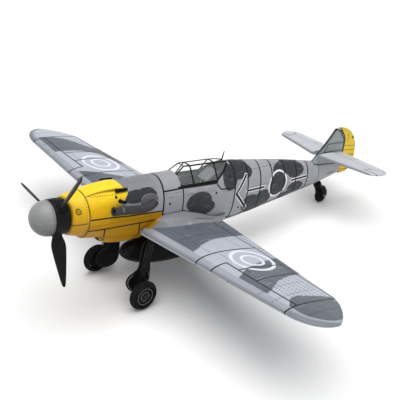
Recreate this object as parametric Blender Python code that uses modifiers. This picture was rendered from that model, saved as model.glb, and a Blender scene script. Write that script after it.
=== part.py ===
"""Snap-together 1:48 model of a low-wing propeller fighter, standing on its three wheels.

Aeroplane axes while modelling: x to port, y aft from a station inside the spinner, z up from the
thrust line, in millimetres. Everything hangs from one empty, which pitches the aeroplane nose-up until
all three wheels touch the ground, and centres it over the origin. Nose to -Y, port wing to +X.
"""
import math

import bmesh
import bpy
from mathutils import Matrix, Vector

MM = 0.001
GAP = 0.3                      # clearance between neighbouring mouldings

# ---- driving dimensions, mm ---------------------------------------------------------------
HALF_SPAN = 103.2
WING_ROOT_X = 9.4
WING_TIP_START_X = 88.0
WING_ROOT_LE_Y = 42.8
WING_ROOT_TE_Y = 84.5
WING_LE_SLOPE = 0.043          # sweep of the leading edge
WING_TE_SLOPE = -0.165         # taper of the trailing edge
WING_ROOT_Z = -9.1
WING_DIHEDRAL = 0.060
WING_ROOT_THICKNESS = 0.150    # as a part of the chord
WING_TIP_THICKNESS = 0.120
WING_TIP_CENTRE_Y = 57.3       # widest point of the rounded tip

SHELL = 1.2                    # wall of the fuselage mouldings
NOSE_Y = 11.0
COWL_Y = 18.2
TAIL_JOINT_Y = 152.6
COCKPIT_Y = (61.2, 93.6)
SILL_Z = 7.6
SILL_KINK_Y = 83.0
SILL_REAR_Z = 12.4

PROP_RADIUS = 27.6
PROP_PLANE_Y = 7.2
PROP_PHASE = math.radians(36.0)   # first blade from straight up, towards port
BLADES = 3
SPINNER_RADIUS = 7.1
SPINNER_BASE_Y = 3.9
SPINNER_LENGTH = 6.9
SHAFT_RADIUS = 1.0
GUN_X = 5.6
GUN_Z = 9.7

WHEEL = dict(x=17.8, y=41.6, z=-33.9, radius=6.5, width=4.0)
TAIL_WHEEL = dict(y=166.8, z=-13.9, radius=4.2, width=2.8)
LEG_TOP = Vector((13.6, 45.2, -12.6))
TANK = dict(y=64.8, z=-23.8, radius=6.5, length=49.0, slope=math.radians(-4.0))

STAB = dict(root_x=2.3, tip_x=33.0, round_x=28.0, z=9.4, le=155.0, le_slope=0.205, te=174.6)

# y, half width, z of the widest point, top z, bottom z, upper and lower roundness
FUSELAGE = [
    (18.2, 9.3, -0.4, 9.4, -10.4, 2.0, 2.0),
    (26.0, 9.3, -0.6, 10.5, -11.4, 2.2, 2.1),
    (33.0, 9.1, -0.8, 11.1, -12.4, 2.3, 2.2),
    (46.0, 9.0, -1.0, 11.5, -14.4, 2.3, 2.4),
    (60.0, 8.9, -1.2, 11.8, -15.3, 2.2, 2.6),
    (76.0, 8.8, -1.2, 12.4, -15.4, 2.1, 2.6),
    (94.0, 8.3, -1.4, 13.3, -15.6, 2.0, 2.4),
    (106.0, 7.6, -1.0, 12.3, -14.6, 2.0, 2.2),
    (118.0, 6.8, -0.8, 11.0, -12.9, 2.0, 2.1),
    (136.0, 5.3, -0.5, 8.9, -10.1, 2.0, 2.0),
    (154.0, 3.8, -0.3, 6.3, -7.1, 2.0, 2.0),
    (176.0, 1.3, 0.6, 4.3, -2.4, 2.0, 2.0),
]

COLOURS = {
    "yellow": ((0.72, 0.42, 0.03), 0.45, 0.0),
    "grey": ((0.27, 0.27, 0.29), 0.50, 0.0),
    "light_grey": ((0.36, 0.37, 0.40), 0.50, 0.0),
    "green_grey": ((0.22, 0.25, 0.25), 0.50, 0.0),
    "spinner_grey": ((0.17, 0.17, 0.18), 0.45, 0.0),
    "black": ((0.015, 0.015, 0.014), 0.45, 0.0),
    "dark_grey": ((0.03, 0.03, 0.032), 0.50, 0.0),
    "rubber": ((0.018, 0.018, 0.018), 0.80, 0.0),
    "steel": ((0.45, 0.45, 0.46), 0.35, 1.0),
    "clear": ((0.85, 0.90, 0.92), 0.05, 0.0),
}

for old in list(bpy.data.objects):
    bpy.data.objects.remove(old, do_unlink=True)

parts = bpy.data.collections.new("propeller_plane_model")
cutters = bpy.data.collections.new("cutters")
for collection in (parts, cutters):
    bpy.context.scene.collection.children.link(collection)

attitude = bpy.data.objects.new("attitude", None)
parts.objects.link(attitude)


# ---- helpers --------------------------------------------------------------------------------
def material(name):
    found = bpy.data.materials.get(name)
    if found:
        return found
    colour, roughness, metallic = COLOURS[name]
    made = bpy.data.materials.new(name)
    made.use_nodes = True
    shader = made.node_tree.nodes["Principled BSDF"]
    shader.inputs["Base Color"].default_value = (*colour, 1.0)
    shader.inputs["Roughness"].default_value = roughness
    shader.inputs["Metallic"].default_value = metallic
    return made


def part(name, mesh, colour, parent=attitude, smooth=True, place=None):
    """Make a named sub-part from a mesh, with its origin where `place` puts it."""
    made = bpy.data.objects.new(name, mesh)
    mesh.materials.append(material(colour))
    if smooth:
        mesh.shade_smooth()
        mesh.set_sharp_from_angle(angle=math.radians(35))
    parts.objects.link(made)
    made.parent = parent
    if place is not None:
        made.matrix_local = place
    return made


def cutter(name, mesh, place=None):
    made = bpy.data.objects.new(name, mesh)
    cutters.objects.link(made)
    made.parent = attitude
    made.hide_render = True
    made.display_type = "WIRE"
    if place is not None:
        made.matrix_local = place
    return made


def mesh_from(name, build):
    """Run `build(bm)` in millimetres and return the mesh in metres, facing out."""
    bm = bmesh.new()
    build(bm)
    bmesh.ops.recalc_face_normals(bm, faces=bm.faces[:])
    bmesh.ops.scale(bm, vec=(MM, MM, MM), verts=bm.verts[:])
    mesh = bpy.data.meshes.new(name)
    bm.to_mesh(mesh)
    bm.free()
    return mesh


def boolean(target, other, operation):
    step = target.modifiers.new(other.name, "BOOLEAN")
    step.object = other
    step.operation = operation
    step.solver = "EXACT"


def smooth_row(table, t):
    """Values at t on a smooth curve through a table whose first column is t."""
    last = len(table) - 1
    t = min(max(t, table[0][0]), table[last][0])
    i = max(k for k in range(last) if table[k][0] <= t)
    low, high = table[i], table[i + 1]
    span = high[0] - low[0]
    u = (t - low[0]) / span
    before, after = table[max(i - 1, 0)], table[min(i + 2, last)]
    values = []
    for c in range(1, len(low)):
        slope_low = (high[c] - before[c]) / (high[0] - before[0])
        slope_high = (after[c] - low[c]) / (after[0] - low[0])
        values.append((2 * u**3 - 3 * u**2 + 1) * low[c] + (u**3 - 2 * u**2 + u) * span * slope_low
                      + (3 * u**2 - 2 * u**3) * high[c] + (u**3 - u**2) * span * slope_high)
    return values


def loft(bm, rings):
    """Skin closed rings of equal length and cap both ends."""
    rows = [[bm.verts.new(p) for p in ring] for ring in rings]
    count = len(rows[0])
    for a, b in zip(rows, rows[1:]):
        for i in range(count):
            j = (i + 1) % count
            bm.faces.new((a[i], a[j], b[j], b[i]))
    bm.faces.new(rows[0])
    bm.faces.new(reversed(rows[-1]))


def shell_loft(bm, outer, inner):
    """Skin open outer and inner lines of equal length into one closed wall."""
    out = [[bm.verts.new(p) for p in line] for line in outer]
    inn = [[bm.verts.new(p) for p in line] for line in inner]
    rows, count = len(out), len(out[0])
    for r in range(rows - 1):
        for i in range(count - 1):
            bm.faces.new((out[r][i], out[r][i + 1], out[r + 1][i + 1], out[r + 1][i]))
            bm.faces.new((inn[r][i], inn[r + 1][i], inn[r + 1][i + 1], inn[r][i + 1]))
        for i in (0, count - 1):
            bm.faces.new((out[r][i], out[r + 1][i], inn[r + 1][i], inn[r][i]))
    for r in (0, rows - 1):
        for i in range(count - 1):
            bm.faces.new((out[r][i], out[r][i + 1], inn[r][i + 1], inn[r][i]))


def box_mesh(name, low, high):
    def build(bm):
        bmesh.ops.create_cube(bm, size=1.0)
        size = [b - a for a, b in zip(low, high)]
        centre = [(a + b) / 2 for a, b in zip(low, high)]
        bmesh.ops.scale(bm, vec=size, verts=bm.verts[:])
        bmesh.ops.translate(bm, vec=centre, verts=bm.verts[:])
    return mesh_from(name, build)


def rod_mesh(name, start, end, radius, end_radius=None, segments=20):
    """Cylinder or cone between two points."""
    start, end = Vector(start), Vector(end)
    direction = end - start
    place = (Matrix.Translation((start + end) / 2)
             @ direction.to_track_quat("Z", "Y").to_matrix().to_4x4())

    def build(bm):
        bmesh.ops.create_cone(bm, cap_ends=True, segments=segments, radius1=radius, matrix=place,
                              radius2=radius if end_radius is None else end_radius,
                              depth=direction.length)
    return mesh_from(name, build)


def plate_mesh(name, outline, x_low, x_high):
    """Flat plate standing fore and aft: an outline of (y, z) points between two x planes."""
    def build(bm):
        loft(bm, [[(x, y, z) for y, z in outline] for x in (x_low, x_high)])
    return mesh_from(name, build)


def turned(name, profile, place, colour, parent=attitude, segments=32):
    """Turned piece: (radius, height) points down the outer side, swept by a Screw modifier."""
    mesh = bpy.data.meshes.new(name)
    points = [(r * MM, 0.0, h * MM) for r, h in profile]
    edges = [(i, i + 1) for i in range(len(points) - 1)]
    if profile[0][0] > 0:
        edges.append((len(points) - 1, 0))
    mesh.from_pydata(points, edges, [])
    made = part(name, mesh, colour, parent, smooth=False, place=place)
    screw = made.modifiers.new("turn", "SCREW")
    screw.steps = segments
    screw.render_steps = segments
    screw.use_merge_vertices = True
    screw.merge_threshold = 0.00001
    screw.use_smooth_shade = True
    return made


def arc(centre_r, centre_h, radius, start, end, steps):
    """Points of an arc in the (radius, height) plane, angles in degrees from outward."""
    points = []
    for k in range(steps + 1):
        angle = math.radians(start + (end - start) * k / steps)
        points.append((centre_r + radius * math.cos(angle), centre_h + radius * math.sin(angle)))
    return points


def at(x, y, z, direction):
    """Frame in metres at a point given in mm, with its local Z along `direction`."""
    turn = Vector(direction).to_track_quat("Z", "Y").to_matrix().to_4x4()
    return Matrix.Translation(Vector((x, y, z)) * MM) @ turn


SIDES = (("left", 1), ("right", -1))


# ---- fuselage -------------------------------------------------------------------------------
def fuselage_point(y, angle, inset=0.0, side=1):
    half, mid, top, bottom, round_up, round_low = smooth_row(FUSELAGE, y)
    upper = math.sin(angle) >= 0
    power = 2 / (round_up if upper else round_low)
    height = (top - mid if upper else mid - bottom) - inset
    x = (half - inset) * abs(math.cos(angle)) ** power
    z = mid + math.copysign(height * abs(math.sin(angle)) ** power, math.sin(angle))
    return (side * max(x, GAP / 2), y, z)


def sill_angle(y):
    """How far up the section the cockpit side reaches at y."""
    half, mid, top, bottom, round_up, round_low = smooth_row(FUSELAGE, y)
    rise = max(0.0, (y - SILL_KINK_Y) / (COCKPIT_Y[1] - SILL_KINK_Y))
    sill = SILL_Z - GAP + rise * (SILL_REAR_Z - SILL_Z)
    return math.asin(min(1.0, ((sill - mid) / (top - mid)) ** (round_up / 2)))


def fuselage_half(side_name, side):
    stations = [18.2, 22, 26, 30, 35, 40, 46, 53, 60.6, 61.2, 66, 72, 78, 83, 88, 93.6, 94.4,
                100, 106, 112, 118, 127, 136, 145, TAIL_JOINT_Y]
    steps = 14
    outer, inner = [], []
    for y in stations:
        in_cockpit = COCKPIT_Y[0] <= y <= COCKPIT_Y[1]
        top = sill_angle(y) if in_cockpit else math.pi / 2
        angles = [-math.pi / 2 + (top + math.pi / 2) * k / steps for k in range(steps + 1)]
        outer.append([fuselage_point(y, a, 0.0, side) for a in angles])
        inner.append([fuselage_point(y, a, SHELL, side) for a in angles])
    half = part("fuselage_" + side_name,
                mesh_from("fuselage_" + side_name, lambda bm: shell_loft(bm, outer, inner)), "grey")
    slot_x = sorted((side * 4.0, side * 12.0))
    slot = cutter("wing_slot_" + side_name,
                  box_mesh("wing_slot", (slot_x[0], TAB_Y[0] - GAP, TAB_Z[0] - GAP),
                           (slot_x[1], TAB_Y[1] + GAP, TAB_Z[1] + GAP)))
    boolean(half, slot, "DIFFERENCE")
    trough = cutter("gun_trough_" + side_name,
                    rod_mesh("gun_trough", (side * GUN_X, 21.0, GUN_Z + 0.7),
                             (side * GUN_X, 36.4, GUN_Z), 1.2, segments=14))
    boolean(half, trough, "DIFFERENCE")


# ---- wings ----------------------------------------------------------------------------------
TAB_Y = (54.0, 68.0)
TAB_Z = (-9.0, -7.6)
CHORD_STEPS = 9


def wing_edges(x):
    """Leading and trailing edge y at span station x, with the rounded, clipped tip."""
    inner = min(x, WING_TIP_START_X)
    lead = WING_ROOT_LE_Y + WING_LE_SLOPE * (inner - WING_ROOT_X)
    trail = WING_ROOT_TE_Y + WING_TE_SLOPE * (inner - WING_ROOT_X)
    if x > WING_TIP_START_X:
        s = min((x - WING_TIP_START_X) / (HALF_SPAN - WING_TIP_START_X), 0.995)
        lead = WING_TIP_CENTRE_Y - (WING_TIP_CENTRE_Y - lead) * math.sqrt(1 - s * s)
        trail = WING_TIP_CENTRE_Y + (trail - WING_TIP_CENTRE_Y) * (1 - s ** 1.35) ** 0.74
    return lead, trail


def foil_height(u, thickness):
    """Half thickness of the section at chord fraction u, as a part of the chord."""
    return 5 * thickness * (0.2969 * math.sqrt(u) - 0.1260 * u - 0.3516 * u**2
                            + 0.2843 * u**3 - 0.1036 * u**4)


def wing_ring(x, upper):
    lead, trail = wing_edges(x)
    chord = trail - lead
    t = (x - WING_ROOT_X) / (HALF_SPAN - WING_ROOT_X)
    thickness = WING_ROOT_THICKNESS + (WING_TIP_THICKNESS - WING_ROOT_THICKNESS) * t
    mid = WING_ROOT_Z + WING_DIHEDRAL * (x - WING_ROOT_X)
    way = 1 if upper else -1
    swell = 1.06 if upper else 1.04
    skin, seam = [], []
    for k in range(CHORD_STEPS + 1):
        u = (1 - math.cos(math.pi * k / CHORD_STEPS)) / 2
        y = lead + chord * u
        z = mid + way * (GAP / 2 + swell * chord * foil_height(u, thickness))
        skin.append((x, y, z))
        if 0 < k < CHORD_STEPS:
            seam.append((x, y, mid + way * GAP / 2))
    return skin + seam[::-1]


def wing_half(side_name, side, upper):
    name = ("wing_upper_" if upper else "wing_lower_") + side_name
    stations = [WING_ROOT_X, 20, 32, 44, 56, 68, 78, 88, 93, 97, 100, 102, HALF_SPAN]

    def build(bm):
        loft(bm, [[(side * x, y, z) for x, y, z in wing_ring(x, upper)] for x in stations])
    wing = part(name, mesh_from(name, build), "light_grey")
    if upper:
        tab_x = sorted((side * 5.4, side * (WING_ROOT_X + 1.5)))
        tab = cutter("wing_tab_" + side_name, box_mesh("wing_tab", (tab_x[0], TAB_Y[0], TAB_Z[0]),
                                                       (tab_x[1], TAB_Y[1], TAB_Z[1])))
        boolean(wing, tab, "UNION")
    else:
        well = cutter("wheel_well_" + side_name,
                      rod_mesh("wheel_well", (side * 38, 58, -14), (side * 38, 58, -9.0), 7.0))
        boolean(wing, well, "DIFFERENCE")
    return wing


def radiator(side_name, side):
    """Shallow cooler housing under the wing, behind the wheel well."""
    def build(bm):
        rings = []
        for y, drop in ((66.0, 2.4), (70.0, 3.0), (76.0, 2.6), (79.0, 1.6)):
            lead, trail = wing_edges(30.0)
            u = (y - lead) / (trail - lead)
            roof = -0.92 * (trail - lead) * foil_height(u, WING_ROOT_THICKNESS) - GAP / 2 - GAP - 0.1
            ring = []
            for x, low in ((22.0, 0), (41.0, 0), (40.4, 1), (22.6, 1)):
                skin = WING_ROOT_Z + WING_DIHEDRAL * (x - WING_ROOT_X) + roof
                ring.append((side * x, y, skin - low * drop))
            rings.append(ring)
        loft(bm, rings)
    part("radiator_" + side_name, mesh_from("radiator_" + side_name, build), "light_grey")


# ---- nose -----------------------------------------------------------------------------------
NOSE_RING = [(1.3, 0.0), (7.7, 0.0), (8.0, -0.3), (8.7, -3.0), (9.25, -6.9), (7.4, -6.9),
             (7.4, -10.0), (1.3, -10.0)]


def oil_cooler():
    """Chin scoop under the cowling."""
    rows = [(27.0, 3.8, 1.4), (29.0, 4.8, 2.2), (33.0, 5.2, 2.7), (38.5, 5.2, 2.4), (47.0, 4.4, 0.9)]

    def build(bm):
        rings = []
        for y, half, drop in rows:
            top, low = [], []
            for k in range(9):
                x = half * (1 - 2 * k / 8)
                base = section_bottom(y, x) - GAP
                top.append((x, y, base))
                low.append((x, y, base - 0.25 - drop * (1 - (x / half) ** 4)))
            rings.append(top + low[::-1])
        loft(bm, rings)
    part("oil_cooler_fairing", mesh_from("oil_cooler_fairing", build), "yellow")


def section_bottom(y, x):
    half, mid, top, bottom, round_up, round_low = smooth_row(FUSELAGE, y)
    return mid - (mid - bottom) * (1 - (abs(x) / half) ** round_low) ** (1 / round_low)


def tube_part(name, points, radius, colour, resolution=2):
    """Round tube along a hand-set route, as a smooth curve turned into a mesh."""
    curve = bpy.data.curves.new(name, "CURVE")
    curve.dimensions = "3D"
    curve.bevel_depth = radius * MM
    curve.bevel_resolution = resolution
    curve.use_fill_caps = True
    spline = curve.splines.new("POLY")
    spline.points.add(len(points) - 1)
    for target, p in zip(spline.points, points):
        target.co = (*(Vector(p) * MM), 1.0)
    holder = bpy.data.objects.new(name + "_route", curve)
    cutters.objects.link(holder)
    mesh = bpy.data.meshes.new_from_object(holder.evaluated_get(bpy.context.evaluated_depsgraph_get()))
    bpy.data.objects.remove(holder, do_unlink=True)
    bm = bmesh.new()
    bm.from_mesh(mesh)
    bmesh.ops.remove_doubles(bm, verts=bm.verts[:], dist=0.00001)
    bmesh.ops.recalc_face_normals(bm, faces=bm.faces[:])
    bm.to_mesh(mesh)
    bm.free()
    return part(name, mesh, colour)


def nose():
    turned("nose_ring", NOSE_RING, at(0, NOSE_Y, 0, (0, -1, 0)), "yellow", segments=36)
    oil_cooler()
    for side_name, side in SIDES:
        barrel = rod_mesh("gun_barrel", (side * GUN_X, 30.4, GUN_Z), (side * GUN_X, 35.6, GUN_Z), 0.8,
                          segments=14)
        part("gun_barrel_" + side_name, barrel, "black")
    intake = [(11.3, 26.4, 3.8), (11.3, 30.0, 3.5), (11.3, 36.0, 3.0), (11.3, 41.0, 2.8),
              (11.2, 44.4, 3.3), (11.0, 46.4, 4.6), (10.9, 47.2, 5.4)]
    tube_part("supercharger_intake", intake, 1.75, "dark_grey", 3)
    tube_part("breather_pipe", [(9.9, 32.6, 6.3), (10.0, 31.6, 6.5), (10.0, 30.4, 7.0),
                                (9.9, 29.6, 7.4)], 0.6, "black")


# ---- propeller ------------------------------------------------------------------------------
def blade_mesh(name, angle):
    """One blade standing along the radius, twisted, with a lens-shaped section."""
    rows = [(4.0, 2.8, 1.7), (7.5, 3.9, 1.5), (11.0, 5.9, 1.2), (15.5, 5.4, 1.0), (20.5, 4.1, 0.8),
            (25.0, 2.6, 0.6), (27.0, 1.5, 0.5), (PROP_RADIUS, 0.7, 0.4)]

    def build(bm):
        rings = []
        for r, chord, thick in rows:
            pitch = -math.radians(52 - 30 * (r - 4) / (PROP_RADIUS - 4))
            ring = []
            for k in range(8):
                a = 2 * math.pi * k / 8
                u, v = chord / 2 * math.cos(a), thick / 2 * math.sin(a)
                ring.append((u * math.cos(pitch) - v * math.sin(pitch),
                             u * math.sin(pitch) + v * math.cos(pitch), r))
            rings.append(ring)
        loft(bm, rings)
        bmesh.ops.rotate(bm, cent=(0, 0, 0), matrix=Matrix.Rotation(angle, 3, "Y"), verts=bm.verts[:])
    return mesh_from(name, build)


def propeller():
    hub = bpy.data.objects.new("thrust_axis", None)
    parts.objects.link(hub)
    hub.parent = attitude
    hub.location = (0, PROP_PLANE_Y * MM, 0)
    fore = Vector((0, -1, 0))

    def forward(y):
        turn = fore.to_track_quat("Z", "Y").to_matrix().to_4x4()
        return Matrix.Translation((0, (y - PROP_PLANE_Y) * MM, 0)) @ turn

    collar = [(0, 3.0), (7.0, 3.0), (7.2, 2.8), (7.25, -3.0), (7.0, -3.3), (1.3, -3.3), (1.3, 1.0), (0, 1.0)]
    prop = turned("propeller", collar, forward(PROP_PLANE_Y), "black", hub, segments=30)
    for k in range(BLADES):
        name = f"blade_{k + 1}"
        blade = cutter(name, blade_mesh(name, PROP_PHASE + 2 * math.pi * k / BLADES))
        blade.parent = hub
        boolean(prop, blade, "UNION")
    dome = [(SPINNER_RADIUS * math.sin(a), SPINNER_LENGTH * math.cos(a))
            for a in [math.pi / 2 * k / 9 for k in range(10)]]
    dome[0] = (0, dome[0][1])
    dome.append((0, 0.0))
    turned("spinner_cap", dome, forward(SPINNER_BASE_Y), "spinner_grey", hub, segments=32)
    shaft = rod_mesh("propeller_shaft", (0, 6.6 - PROP_PLANE_Y, 0), (0, 24.6 - PROP_PLANE_Y, 0), SHAFT_RADIUS)
    part("propeller_shaft", shaft, "steel", hub)
    washer = [(1.3, 0.0), (3.4, 0.0), (3.4, -1.8), (1.3, -1.8)]
    turned("shaft_retainer", washer, forward(NOSE_Y + 10.4), "black", hub, segments=24)


# ---- cockpit --------------------------------------------------------------------------------
CANOPY = [
    (62.6, 6.6, 8.0, 4.0, 11.3, 11.9),
    (68.3, 6.7, SILL_Z + 0.1, 3.5, 13.9, 14.3),
    (74.0, 6.7, SILL_Z + 0.1, 3.6, 14.0, 14.4),
    (83.0, 6.7, SILL_Z + 0.2, 3.5, 13.7, 14.1),
    (93.3, 4.4, 12.6, 3.1, 13.1, 13.5),
]


def canopy():
    """Clear hood: flat roof, flat sides and a raked front pane, open below."""
    wall = 0.7
    outer, inner = [], []
    for y, sill_x, sill_z, edge_x, edge_z, top_z in CANOPY:
        line = [(sill_x, sill_z), (edge_x, edge_z), (edge_x / 2, (edge_z + top_z) / 2), (0, top_z)]
        low = [(sill_x - wall, sill_z), (edge_x - wall * 0.7, edge_z - wall * 0.9),
               (edge_x / 2 - 0.1, (edge_z + top_z) / 2 - wall), (0, top_z - wall)]
        outer.append([(x, y, z) for x, z in line] + [(-x, y, z) for x, z in line[-2::-1]])
        inner.append([(x, y, z) for x, z in low] + [(-x, y, z) for x, z in low[-2::-1]])
    part("canopy", mesh_from("canopy", lambda bm: shell_loft(bm, outer, inner)), "clear", smooth=False)
    part("antenna_mast", rod_mesh("antenna_mast", (0, 90.6, 14.0), (0, 91.3, 18.2), 0.4, 0.22, 10), "black")


def cockpit():
    wall = 0.8
    half, floor, rim = 5.2, -3.0, 6.2
    outer = [(half, rim), (half, floor), (-half, floor), (-half, rim)]
    inner = [(half - wall, rim), (half - wall, floor + wall), (wall - half, floor + wall), (wall - half, rim)]
    stations = (62.5, 90.0)
    part("cockpit_tub", mesh_from("cockpit_tub", lambda bm: shell_loft(
        bm, [[(x, y, z) for x, z in outer] for y in stations],
        [[(x, y, z) for x, z in inner] for y in stations])), "dark_grey", smooth=False)
    seat = [(73.0, -1.6), (80.6, -1.6), (82.6, 6.6), (81.4, 6.9), (79.6, -0.4), (73.0, -0.4)]
    part("seat", plate_mesh("seat", seat, -3.0, 3.0), "dark_grey", smooth=False)
    armour = [(84.2, -1.6), (85.4, -1.6), (87.6, 12.2), (86.4, 12.4)]
    part("headrest_armour", plate_mesh("headrest_armour", armour, -3.2, 3.2), "grey", smooth=False)
    panel = [(63.4, 1.0), (64.4, 1.0), (64.4, 7.4), (63.4, 8.6)]
    part("instrument_panel", plate_mesh("instrument_panel", panel, -4.1, 4.1), "dark_grey", smooth=False)
    part("control_stick", rod_mesh("control_stick", (0, 70.0, -1.9), (0, 71.0, 3.4), 0.45, 0.35, 10), "black")


# ---- tail -----------------------------------------------------------------------------------
def fin_ring(z):
    """Fin section at height z: slender, blunt at the front, cut square at the hinge line."""
    t = (z - 3.0) / 19.4
    lead = smooth_row([(3.0, 150.6), (6.6, 153.4), (14.8, 160.8), (20.0, 164.6), (22.4, 167.2)], z)[0]
    hinge = smooth_row([(3.0, 175.6), (13.0, 175.6), (16.5, 175.2), (20.0, 172.2), (22.4, 168.6)], z)[0]
    half = 1.35 - 0.75 * t
    shape = ((0.0, 0.25), (0.06, 0.7), (0.3, 1.0), (1.0, 0.7))
    port = [(half * w, lead + (hinge - lead) * u, z) for u, w in shape]
    return port + [(-x, y, h) for x, y, h in reversed(port)]


def tail():
    def cone(bm):
        rings = []
        for y in (TAIL_JOINT_Y + GAP, 158, 164, 170, 175.2):
            angles = [2 * math.pi * k / 20 for k in range(20)]
            rings.append([tail_point(y, a) for a in angles])
        loft(bm, rings)

    def fin(bm):
        loft(bm, [fin_ring(z) for z in (3.4, 7, 11, 15, 18, 20.5, 22.2)])

    tail_fin = part("tail_fin", mesh_from("tail_fin", cone), "green_grey")
    boolean(tail_fin, cutter("fin", fin_mesh_clear_of_fuselage(fin)), "UNION")
    rudder = [(176.2, -2.7), (182.0, -2.2), (185.0, 0.6), (186.1, 5.0), (185.5, 11.3), (183.0, 16.2),
              (178.8, 20.4), (175.4, 21.9), (172.6, 22.5), (169.6, 22.4), (172.9, 19.8), (175.8, 16.4),
              (176.2, 13.0)]
    part("rudder", plate_mesh("rudder", rudder, -0.7, 0.7), "yellow", smooth=False)
    for side_name, side in SIDES:
        stabiliser(side_name, side)


def tail_point(y, angle):
    half, mid, top, bottom, round_up, round_low = smooth_row(FUSELAGE, y)
    height = top - mid if math.sin(angle) >= 0 else mid - bottom
    return (half * math.cos(angle), y, mid + height * math.sin(angle))


def fin_mesh_clear_of_fuselage(fin):
    """The fin's foot starts behind the joint with the fuselage mouldings."""
    def build(bm):
        fin(bm)
        for v in bm.verts:
            v.co.y = max(v.co.y, TAIL_JOINT_Y + GAP + 0.1)
    return mesh_from("fin", build)


def stabiliser(side_name, side):
    s = STAB
    stations = [s["root_x"], 9, 16, 22, 28, 31, 33, s["tip_x"]]

    def build(bm):
        rings = []
        for x in stations:
            lead = s["le"] + s["le_slope"] * (x - s["root_x"])
            trail = s["te"]
            if x > s["round_x"]:
                t = min((x - s["round_x"]) / (s["tip_x"] - s["round_x"]), 0.99)
                pull = 1 - math.sqrt(1 - t * t)
                lead += (168.5 - lead) * pull
                trail += (168.5 - trail) * pull
            chord = trail - lead
            upper, lower = [], []
            for k in range(8):
                u = (1 - math.cos(math.pi * k / 7)) / 2
                h = chord * foil_height(u, 0.105) + 0.12
                upper.append((side * x, lead + chord * u, s["z"] + h))
                lower.append((side * x, lead + chord * u, s["z"] - h))
            rings.append(upper + lower[::-1])
        loft(bm, rings)
    part("stabiliser_" + side_name, mesh_from("stabiliser_" + side_name, build), "light_grey")


# ---- landing gear ---------------------------------------------------------------------------
DOOR = [(43.2, -12.9), (47.6, -12.9), (48.2, -22.0), (48.5, -25.0), (48.7, -27.6), (48.8, -30.6),
        (48.0, -33.4), (45.6, -35.2), (42.2, -35.6), (39.2, -34.6), (37.2, -32.2), (36.6, -29.6),
        (38.0, -27.4), (40.6, -26.0), (42.4, -23.6)]


def main_gear(side_name, side):
    w = WHEEL
    outward = (side, 0, 0)
    boss_x = w["x"] - w["width"] / 2 - GAP
    foot = Vector((boss_x - 1.0, w["y"], w["z"]))
    top, bottom = Vector(LEG_TOP), foot.copy()
    for p in (top, bottom):
        p.x *= side
    leg = part("gear_leg_" + side_name, rod_mesh("gear_leg", top, bottom, 1.5, 1.1), "black")
    boss = cutter("leg_boss_" + side_name, rod_mesh("leg_boss", (side * (boss_x - 2.2), w["y"], w["z"]),
                                                    (side * boss_x, w["y"], w["z"]), 1.9))
    boolean(leg, boss, "UNION")
    bore = cutter("leg_bore_" + side_name, rod_mesh("leg_bore", (side * (boss_x - 1.4), w["y"], w["z"]),
                                                    (side * (boss_x + 1.0), w["y"], w["z"]), 0.95))
    boolean(leg, bore, "DIFFERENCE")
    door_x = sorted((side * 11.0, side * 11.8))
    part("gear_door_" + side_name, plate_mesh("gear_door", DOOR, *door_x), "black", smooth=False)

    spin = bpy.data.objects.new("wheel_axis_" + side_name, None)
    parts.objects.link(spin)
    spin.parent = attitude
    spin.location = Vector((side * w["x"], w["y"], w["z"])) * MM
    local = Vector(outward).to_track_quat("Z", "Y").to_matrix().to_4x4()
    half, r = w["width"] / 2, w["radius"]
    tyre = [(4.5, half - 0.5), (5.1, half)] + arc(r - 1.6, 0, 1.6, 75, -75, 8)
    tyre += [(5.1, -half), (4.5, 0.5 - half)]
    turned("tyre_" + side_name, tyre, local, "rubber", spin)
    hub = [(1.1, half - 0.7), (1.5, half - 0.7), (1.8, half - 1.1), (3.4, half - 1.1), (3.8, half - 0.6),
           (4.15, half - 0.6), (4.15, 0.6 - half), (1.1, 0.6 - half)]
    turned("wheel_hub_" + side_name, hub, local, "dark_grey", spin, segments=24)
    pin_start, pin_end = boss_x - 1.0, w["x"] + half - 0.2
    pin = rod_mesh("wheel_axle", (side * pin_start, w["y"], w["z"]), (side * pin_end, w["y"], w["z"]), 0.65)
    pin = part("wheel_axle_" + side_name, pin, "steel")
    head = cutter("axle_head_" + side_name, rod_mesh("axle_head", (side * (pin_end - 0.2), w["y"], w["z"]),
                                                     (side * (pin_end + 0.3), w["y"], w["z"]), 1.4))
    boolean(pin, head, "UNION")


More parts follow.
